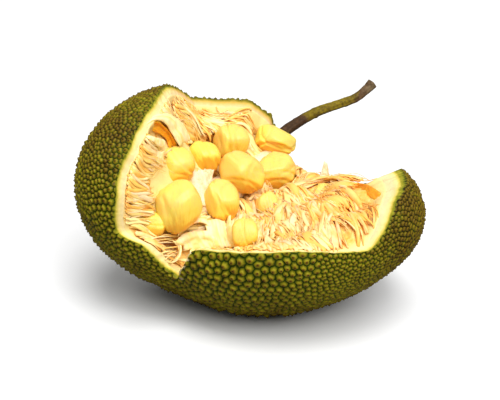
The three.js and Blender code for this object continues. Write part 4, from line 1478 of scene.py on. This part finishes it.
# Sheets of flesh and pith between the bulbs: slot, thickness, the frame's nodes that a sheet
# stands for, and rows of points that it is drawn through.
SHEETS = {
    "pith_web": ("pith", 2.2, (), [
        [(-58, -45, 133), (-46, -30, 132), (-33, -15, 126)],
        [(-54, -50, 124), (-44, -39, 122), (-35, -26, 115)],
        [(-50, -54, 115), (-43, -49, 113), (-37, -43, 110)],
        [(-47, -58, 103), (-43, -57, 101), (-40, -54, 100)]]),
    "bulb_14_hood": ("bulb", 2.0, ("bulb_14",), [
        [(-93, -81, 186), (-85, -69, 189), (-79, -60, 185), (-74, -54, 178), (-70, -51, 172),
         (-67, -50, 165), (-65, -47, 160)],
        [(-93, -76, 184), (-87, -64, 184), (-80, -56, 180), (-75, -51, 173), (-72, -48, 167),
         (-70, -47, 161), (-68, -46, 158)],
        [(-93, -76, 183), (-88, -71, 181), (-82, -60, 175), (-76, -54, 169), (-74, -52, 164),
         (-73, -52, 160), (-71, -52, 157)]]),
    "bulb_13_slit": ("bulb", 3.5, ("bulb_13",), [
        [(101, -24, 117), (105, -40, 121), (109, -55, 125), (114, -70, 127), (121, -84, 124),
         (127, -95, 119)],
        [(101, -27, 113), (104, -43, 117), (108, -60, 122), (113, -75, 123), (119, -88, 121),
         (125, -97, 116)],
        [(100, -30, 110), (102, -48, 113), (106, -65, 118), (111, -79, 119), (117, -91, 117),
         (123, -98, 113)]]),
    "hood_lip": ("fibre", 2.6, (), [
        [(-93, -82, 187), (-91, -76, 189), (-89, -70, 190)],
        [(-85, -71, 190), (-83, -64, 192), (-80, -57, 192)],
        [(-78, -61, 187), (-75, -54, 189), (-72, -46, 189)],
        [(-73, -56, 180), (-69, -48, 183), (-65, -38, 182)],
        [(-70, -54, 173), (-65, -44, 175), (-60, -33, 174)],
        [(-66, -53, 166), (-61, -43, 168), (-56, -31, 166)],
        [(-63, -50, 159), (-58, -40, 160), (-53, -31, 158)]]),
    "tongue": ("fibre", 3.0, (), [
        [(-91, -84, 182), (-85, -80, 178), (-79, -66, 172), (-75, -60, 168)],
        [(-91, -87, 181), (-85, -84, 177), (-80, -72, 170), (-76, -62, 166)],
        [(-91, -87, 180), (-86, -85, 176), (-81, -75, 167), (-77, -62, 164)]]),
    "web_left": ("fibre", 1.4, (), [
        [(-88, -84, 160), (-82, -73, 163), (-76, -66, 161)],
        [(-88, -86, 152), (-82, -76, 154), (-77, -68, 153)],
        [(-87, -82, 144), (-82, -75, 145), (-79, -70, 145)]]),
    "fold_front": ("fibre", 2.6, (), [
        [(-67, -95, 86), (-58, -87, 90), (-49, -81, 90), (-39, -79, 89), (-30, -80, 84)],
        [(-64, -96, 82), (-56, -90, 86), (-47, -85, 87), (-38, -84, 86), (-28, -86, 83)],
        [(-61, -93, 79), (-55, -88, 81), (-46, -85, 82), (-37, -84, 81), (-26, -88, 80)],
        [(-60, -91, 73), (-53, -88, 73), (-44, -86, 72), (-34, -88, 73), (-20, -98, 78)]]),
    "torn_lip": ("fibre", 1.8, (), [
        [(-63, -108, 56), (-61, -114, 63), (-57, -121, 71), (-53, -126, 79), (-50, -128, 88)],
        [(-61, -106, 57), (-60, -111, 63), (-56, -117, 71), (-53, -122, 80), (-50, -124, 89)],
        [(-57, -101, 58), (-56, -106, 63), (-52, -113, 72), (-50, -118, 79), (-47, -120, 88)]]),
    "curl": ("fibre", 2.0, (), [
        [(-66, -93, 86), (-60, -88, 93), (-52, -80, 95), (-42, -76, 95), (-32, -77, 87)],
        [(-64, -91, 89), (-58, -84, 96), (-50, -77, 98), (-41, -73, 97), (-33, -74, 90)],
        [(-61, -86, 90), (-55, -78, 95), (-48, -72, 96), (-41, -69, 95), (-35, -70, 91)]]),
    "loop": ("fibre", 1.4, (), [
        [(-69, -97, 87), (-62, -95, 82), (-61, -102, 76), (-65, -108, 71), (-73, -106, 69)],
        [(-68, -96, 85), (-63, -94, 80), (-62, -101, 75), (-66, -106, 70), (-73, -104, 68)],
        [(-67, -95, 83), (-64, -93, 79), (-63, -100, 74), (-67, -104, 69), (-73, -102, 67)]]),
    "pale_sheet": ("fibre", 2.4, (), [
        [(-41, -66, 93), (-32, -60, 93), (-22, -58, 91)],
        [(-40, -77, 90), (-29, -76, 90), (-19, -77, 88)],
        [(-38, -82, 81), (-27, -86, 83), (-15, -94, 86)],
        [(-34, -88, 74), (-22, -98, 79), (-9, -105, 82)]]),
    "cup": ("fibre", 1.8, (), [
        [(-20, -54, 91), (-20, -86, 85), (-8, -108, 82), (5, -104, 86), (8, -78, 91)],
        [(-19, -60, 95), (-18, -90, 90), (-7, -111, 87), (4, -107, 91), (8, -82, 96)],
        [(-17, -60, 98), (-16, -89, 94), (-7, -108, 90), (2, -105, 94), (6, -82, 99)]]),
    "flap_white": ("fibre", 2.0, (), [
        [(87, -60, 119), (88, -74, 117)],
        [(78, -66, 118), (79, -80, 115)],
        [(69, -62, 109), (70, -78, 112)]]),
    "flap_pink": ("pith", 2.0, (), [
        [(68, -3, 104), (73, 0, 104), (78, 5, 103)],
        [(69, 0, 116), (74, 0, 117), (77, 4, 116)],
        [(72, 3, 128), (74, 3, 129), (75, 4, 128)]]),
    "curl_small": ("fibre", 1.6, (), [
        [(0, -16, 92), (5, -8, 95), (11, -14, 95), (12, -27, 92), (7, -33, 90)],
        [(-1, -20, 97), (5, -12, 100), (12, -18, 100), (13, -32, 97), (8, -39, 94)],
        [(2, -22, 98), (5, -16, 100), (10, -21, 100), (10, -31, 97), (7, -36, 95)]]),
}


def make_sheet(name, material):
    """A sheet drawn through rows of points, smooth both ways, thin at its edges, with small
    waves; its two faces join all round."""
    slot, thickness, replaced, controls = SHEETS[name]
    rows, columns = 30, 36
    lines = np.stack([smooth_path(row, columns) for row in controls])
    surface = np.stack([smooth_path(lines[:, k], rows) for k in range(columns)], axis=1)
    down, along = np.gradient(surface, axis=0), np.gradient(surface, axis=1)
    normal = unit(np.cross(down, along))
    flat = surface.reshape(-1, 3)
    surface = surface + normal * (0.7 * noise(flat, 5.0, 61) + 0.35 * noise(flat, 2.0, 62)) \
        .reshape(rows, columns, 1)
    u = np.linspace(-1, 1, rows)[:, None]
    v = np.linspace(-1, 1, columns)[None]
    ragged = 0.06 + 0.12 * noise(flat, 3.0, 63).reshape(rows, columns)
    edge = np.maximum(np.abs(u), np.abs(v)) ** 8
    surface = surface + (surface.mean((0, 1)) - surface) * (ragged * edge)[..., None]
    half = 0.12 + thickness / 2 * ((1 - u ** 8) * (1 - v ** 8))[..., None] ** 0.5
    points = np.concatenate([(surface + normal * half).reshape(-1, 3),
                             (surface - normal * half).reshape(-1, 3)])
    grid = np.arange(rows * columns).reshape(rows, columns)
    loop = np.concatenate([grid[0, :-1], grid[:-1, -1], grid[-1, :0:-1], grid[:0:-1, 0]])
    following = np.roll(loop, -1)
    count = rows * columns
    wall = np.stack([loop, following, following + count, loop + count], 1)
    face = grid_faces(rows, columns, wrap=False)
    faces = [face[:, ::-1], face + count, wall]
    place = np.stack(np.broadcast_arrays(1.2 * u, 9.0 * v, 3.0), -1).reshape(-1, 3)
    streak = np.tile(np.clip(0.68 + 0.4 * noise(place, 1.0, 64), 0, 1), 2)
    # height follows the streaks and sets the strand material's painted shade; inner gives bulb
    # sheets a darker painted shade.
    marks = {"inner": np.ones(2 * count), "tone": streak, "height": 2.2 + 1.6 * streak,
             "along": np.tile(-0.3 + 0.2 * v[0], 2 * rows),
             "round_x": np.tile(np.repeat(u[:, 0], columns), 2), "round_y": np.zeros(2 * count)}
    return new_piece(name, points, faces, material, replaced, marks)


# ---- Camera, floor and lights ----

def make_camera():
    """A camera without roll in front of the opening, which looks down by the view's tilt."""
    data = bpy.data.cameras.new("camera")
    data.sensor_width = 36
    data.lens = 85.176
    camera = bpy.data.objects.new("camera", data)
    bpy.context.scene.collection.objects.link(camera)
    aim = Vector((1, -48, 107)) * MM
    distance = 1.1
    tilt = math.radians(VIEW_TILT)
    camera.location = aim + Vector((0, -math.cos(tilt), math.sin(tilt))) * distance
    camera.rotation_euler = (math.pi / 2 - tilt, 0, 0)
    bpy.context.scene.camera = camera


def make_surround(settings):
    """Pale light from all round, weak near the horizon and full overhead; plain white where it
    is seen."""
    world = bpy.data.worlds.new("surround")
    world.use_nodes = True
    tree = world.node_tree
    background = tree.nodes["Background"]
    place = add_node(tree, "ShaderNodeTexCoord").outputs["Generated"]
    height = add_node(tree, "ShaderNodeSeparateXYZ", {"Vector": place}).outputs[2]
    lit = map_range(tree, height, 0.12, 0.62, 0.08 * settings.surround, settings.surround)
    seen = add_node(tree, "ShaderNodeLightPath").outputs["Is Camera Ray"]
    tree.links.new(calculate(tree, "MAXIMUM", lit, seen), background.inputs["Strength"])
    background.inputs["Color"].default_value = (1.0, 1.0, 1.0, 1.0)
    bpy.context.scene.world = world


def make_floor(settings):
    """A wide pale floor just under the fruit, which throws less light back than it shows."""
    mesh = bpy.data.meshes.new("floor")
    level = -0.0006
    mesh.from_pydata([(-4, -4, level), (4, -4, level), (4, 8, level), (-4, 8, level)],
                     [], [(0, 1, 2, 3)])
    material, tree, shader, _ = new_material("floor")
    seen = add_node(tree, "ShaderNodeLightPath").outputs["Is Camera Ray"]
    pale = blend_colours(tree, seen, [0.3 * part for part in settings.floor], settings.floor)
    tree.links.new(pale, shader.inputs["Base Color"])
    shader.inputs["Roughness"].default_value = 0.3
    mesh.materials.append(material)
    floor = bpy.data.objects.new("floor", mesh)
    bpy.context.scene.collection.objects.link(floor)


def make_light(name, across_angle, tilt, spread, power):
    """A soft distant light, tilted towards the viewer and across, with a wide disc."""
    data = bpy.data.lights.new(name, "SUN")
    data.angle = math.radians(spread)
    data.energy = power
    light = bpy.data.objects.new(name, data)
    light.rotation_euler = (math.radians(tilt), math.radians(across_angle), 0)
    bpy.context.scene.collection.objects.link(light)


# ---- Settings ----

def colour_property(name, description, default):
    """A colour that the user can pick."""
    return FloatVectorProperty(name=name, description=description, default=default,
                               subtype="COLOR", size=3, min=0.0, max=1.0)


class RindSettings(bpy.types.PropertyGroup):
    """Sizes and colours of the coned rind."""
    cone_width: FloatProperty(
        name="Cone width", description="Distance between cones in front; the others follow",
        default=0.0079, min=0.005, max=0.02, subtype="DISTANCE", unit="LENGTH", precision=4)
    steepness: FloatProperty(
        name="Steepness", description="Height of a cone as a share of its width",
        default=0.5, min=0.1, max=1.0, subtype="FACTOR")
    seed: IntProperty(name="Seed", description="Another arrangement of cones", default=5, min=0)
    valley: colour_property("Valley", "Skin between the cones", (0.042, 0.078, 0.0008))
    flank: colour_property("Flank", "Lower side of a cone", (0.170, 0.160, 0.002))
    shoulder: colour_property("Shoulder", "Upper side of a cone", (0.31, 0.262, 0.010))
    below_tip: colour_property("Below the tip", "Ring round a cone's tip", (0.18, 0.105, 0.005))
    tip: colour_property("Tip", "Tip of a cone", (0.055, 0.024, 0.003))
    worn: colour_property("Worn skin", "Browned cones at the end, high up and below",
                          (0.165, 0.104, 0.004))
    flesh: colour_property("Cut flesh", "Pale flesh of the cut face", (0.93, 0.74, 0.40))


class BulbSettings(bpy.types.PropertyGroup):
    """Shape and colours of the golden bulbs."""
    creases: FloatProperty(
        name="Creases", description="Depth of the lengthwise creases as a share of the radius",
        default=CREASE_SHARE, min=0.0, max=0.2, subtype="FACTOR")
    # Pale is painted light on flesh that faces up; orange is painted shade underneath, and also the
    # flesh's colour at the root.
    pale: colour_property("Pale", "Flesh that faces up", (0.92, 0.61, 0.135))
    golden: colour_property("Golden", "Flesh on the sides", (0.93, 0.70, 0.12))
    orange: colour_property("Orange", "Flesh underneath and at the root", (0.94, 0.64, 0.08))


class CoreSettings(bpy.types.PropertyGroup):
    """Colours of the pith, and the stem's width and colours."""
    pith: colour_property("Pith", "Spongy middle", (0.98, 0.82, 0.58))
    pith_warm: colour_property("Warm pith", "Darker patches of the pith", (0.94, 0.68, 0.38))
    stem_width: FloatProperty(
        name="Stem width", description="Thickness of the stem at its narrowest",
        default=0.0094, min=0.004, max=0.012, subtype="DISTANCE", unit="LENGTH", precision=4)
    bark: colour_property("Bark", "Brown skin of the stem", (0.085, 0.042, 0.018))
    green_bark: colour_property("Green bark", "Middle of the stem", (0.20, 0.145, 0.006))
    stem_end: colour_property("Stem end", "Cut face of the stem", (0.42, 0.30, 0.17))


class FibreSettings(bpy.types.PropertyGroup):
    """How shaggy the fibre is, and its colours."""
    fullness: FloatProperty(
        name="Fullness", description="Share of the strands that are made",
        default=1.0, min=0.1, max=1.0, subtype="FACTOR")
    strand_width: FloatProperty(
        name="Strand width", description="Width of the broadest ordinary strands",
        default=0.0075, min=0.003, max=0.012, subtype="DISTANCE", unit="LENGTH", precision=4)
    seed: IntProperty(name="Seed", description="Another arrangement of strands", default=7, min=0)
    strand_cream: colour_property("Cream", "Palest strands", (1.0, 0.85, 0.44))
    strand_yellow: colour_property("Yellow", "Most of the strands", (1.0, 0.79, 0.31))
    strand_orange: colour_property("Orange", "Warmest strands", (0.99, 0.60, 0.13))
    strand_pink: colour_property("Pink", "Pinkish strands", (0.99, 0.72, 0.42))
    # Painted shade: the orange that darkens the bed's dips and pockets between the strands.
    pocket: colour_property("Pockets", "Flesh deep between the strands", (0.90, 0.34, 0.03))


class StageSettings(bpy.types.PropertyGroup):
    """Floor colour and the strength of the lights."""
    top: FloatProperty(name="Top light", description="Strength of the light from above",
                       default=1.75, min=0.0, max=10.0)
    front: FloatProperty(name="Front light", description="Strength of the light in front",
                         default=2.2, min=0.0, max=10.0)
    surround: FloatProperty(name="Surround", description="Light from all round",
                            default=0.6, min=0.0, max=1.0, subtype="FACTOR")
    floor: colour_property("Floor", "The floor under the fruit", (0.93, 0.93, 0.93))


class JackfruitSettings(bpy.types.PropertyGroup):
    """All settings of the opened jackfruit."""
    rind: PointerProperty(type=RindSettings, name="Rind", description="Coned rind")
    bulbs: PointerProperty(type=BulbSettings, name="Bulbs", description="Golden bulbs")
    core: PointerProperty(type=CoreSettings, name="Core and stem", description="Pith and stem")
    fibre: PointerProperty(type=FibreSettings, name="Fibre", description="Bed, strands and sheets")
    stage: PointerProperty(type=StageSettings, name="Stage", description="Floor and lights")


# ---- Operators and panel ----

class JACKFRUIT_OT_rind(bpy.types.Operator):
    """Add the coned rind with its cut face"""
    bl_idname = "jackfruit.rind"
    bl_label = "Rind"

    def execute(self, context):
        make_rind(context.scene.jackfruit.rind)
        return {"FINISHED"}


class JACKFRUIT_OT_bulbs(bpy.types.Operator):
    """Add the bulbs, with the hood and the slit that show only in part"""
    bl_idname = "jackfruit.bulbs"
    bl_label = "Bulbs"

    def execute(self, context):
        settings = context.scene.jackfruit.bulbs
        for number in range(len(BULBS) - 2):
            make_bulb(number, settings)
        for name in ("bulb_13_slit", "bulb_14_hood"):
            make_sheet(name, finish("golden_bulb", bulb_material, settings))
        return {"FINISHED"}


class JACKFRUIT_OT_core(bpy.types.Operator):
    """Add the pith core and the web of pith between the front bulbs"""
    bl_idname = "jackfruit.core"
    bl_label = "Core"

    def execute(self, context):
        settings = context.scene.jackfruit.core
        make_core(settings)
        for name in ("pith_web", "flap_pink"):
            make_sheet(name, finish("spongy_pith", pith_material, settings))
        return {"FINISHED"}


class JACKFRUIT_OT_stem(bpy.types.Operator):
    """Add the bent stem with its cut end"""
    bl_idname = "jackfruit.stem"
    bl_label = "Stem"

    def execute(self, context):
        make_stem(context.scene.jackfruit.core)
        return {"FINISHED"}


class JACKFRUIT_OT_bed(bpy.types.Operator):
    """Add the bed of flesh that fills the rind below the opening"""
    bl_idname = "jackfruit.bed"
    bl_label = "Bed of flesh"

    def execute(self, context):
        make_bed(context.scene.jackfruit.fibre)
        return {"FINISHED"}


class JACKFRUIT_OT_strands(bpy.types.Operator):
    """Add the bundles of strands on the bed"""
    bl_idname = "jackfruit.strands"
    bl_label = "Strands"

    def execute(self, context):
        make_all_strands(context.scene.jackfruit.fibre)
        return {"FINISHED"}


class JACKFRUIT_OT_sheets(bpy.types.Operator):
    """Add the loose sheets and curls of flesh between the bulbs"""
    bl_idname = "jackfruit.sheets"
    bl_label = "Loose sheets"

    def execute(self, context):
        material = finish("pale_strand", strand_material, context.scene.jackfruit.fibre)
        for name, sheet in SHEETS.items():
            if sheet[0] == "fibre":
                make_sheet(name, material)
        return {"FINISHED"}


class JACKFRUIT_OT_stage(bpy.types.Operator):
    """Add the camera, the floor, the surround and two soft lights"""
    bl_idname = "jackfruit.stage"
    bl_label = "Stage"

    def execute(self, context):
        settings = context.scene.jackfruit.stage
        make_camera()
        make_surround(settings)
        make_floor(settings)
        make_light("top", across_angle=4, tilt=20, spread=30, power=settings.top)
        make_light("front", across_angle=24, tilt=44, spread=34, power=settings.front)
        context.scene.view_settings.view_transform = "Standard"
        return {"FINISHED"}


OPERATORS = (JACKFRUIT_OT_stage, JACKFRUIT_OT_rind, JACKFRUIT_OT_bulbs, JACKFRUIT_OT_core,
             JACKFRUIT_OT_stem, JACKFRUIT_OT_bed, JACKFRUIT_OT_strands, JACKFRUIT_OT_sheets)


class VIEW3D_PT_jackfruit(bpy.types.Panel):
    """Settings and buttons of the opened jackfruit"""
    bl_label = "Opened jackfruit"
    bl_space_type = "VIEW_3D"
    bl_region_type = "UI"
    bl_category = "Jackfruit"

    def draw(self, context):
        everything = context.scene.jackfruit
        for part in ("rind", "bulbs", "core", "fibre", "stage"):
            settings = getattr(everything, part)
            box = self.layout.box()
            box.label(text=everything.bl_rna.properties[part].name)
            for key in settings.__annotations__:
                box.prop(settings, key)
        for operator in OPERATORS:
            self.layout.operator(operator.bl_idname)


CLASSES = (RindSettings, BulbSettings, CoreSettings, FibreSettings, StageSettings,
           JackfruitSettings, *OPERATORS, VIEW3D_PT_jackfruit)


def register():
    for made in CLASSES:
        bpy.utils.register_class(made)
    bpy.types.Scene.jackfruit = PointerProperty(type=JackfruitSettings)


def unregister():
    del bpy.types.Scene.jackfruit
    for made in reversed(CLASSES):
        bpy.utils.unregister_class(made)


def main():
    """Registers the classes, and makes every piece."""
    register()
    bpy.ops.jackfruit.stage()
    bpy.ops.jackfruit.rind()
    bpy.ops.jackfruit.bulbs()
    bpy.ops.jackfruit.core()
    bpy.ops.jackfruit.stem()
    bpy.ops.jackfruit.bed()
    bpy.ops.jackfruit.strands()
    bpy.ops.jackfruit.sheets()


if __name__ == "__main__":
    main()
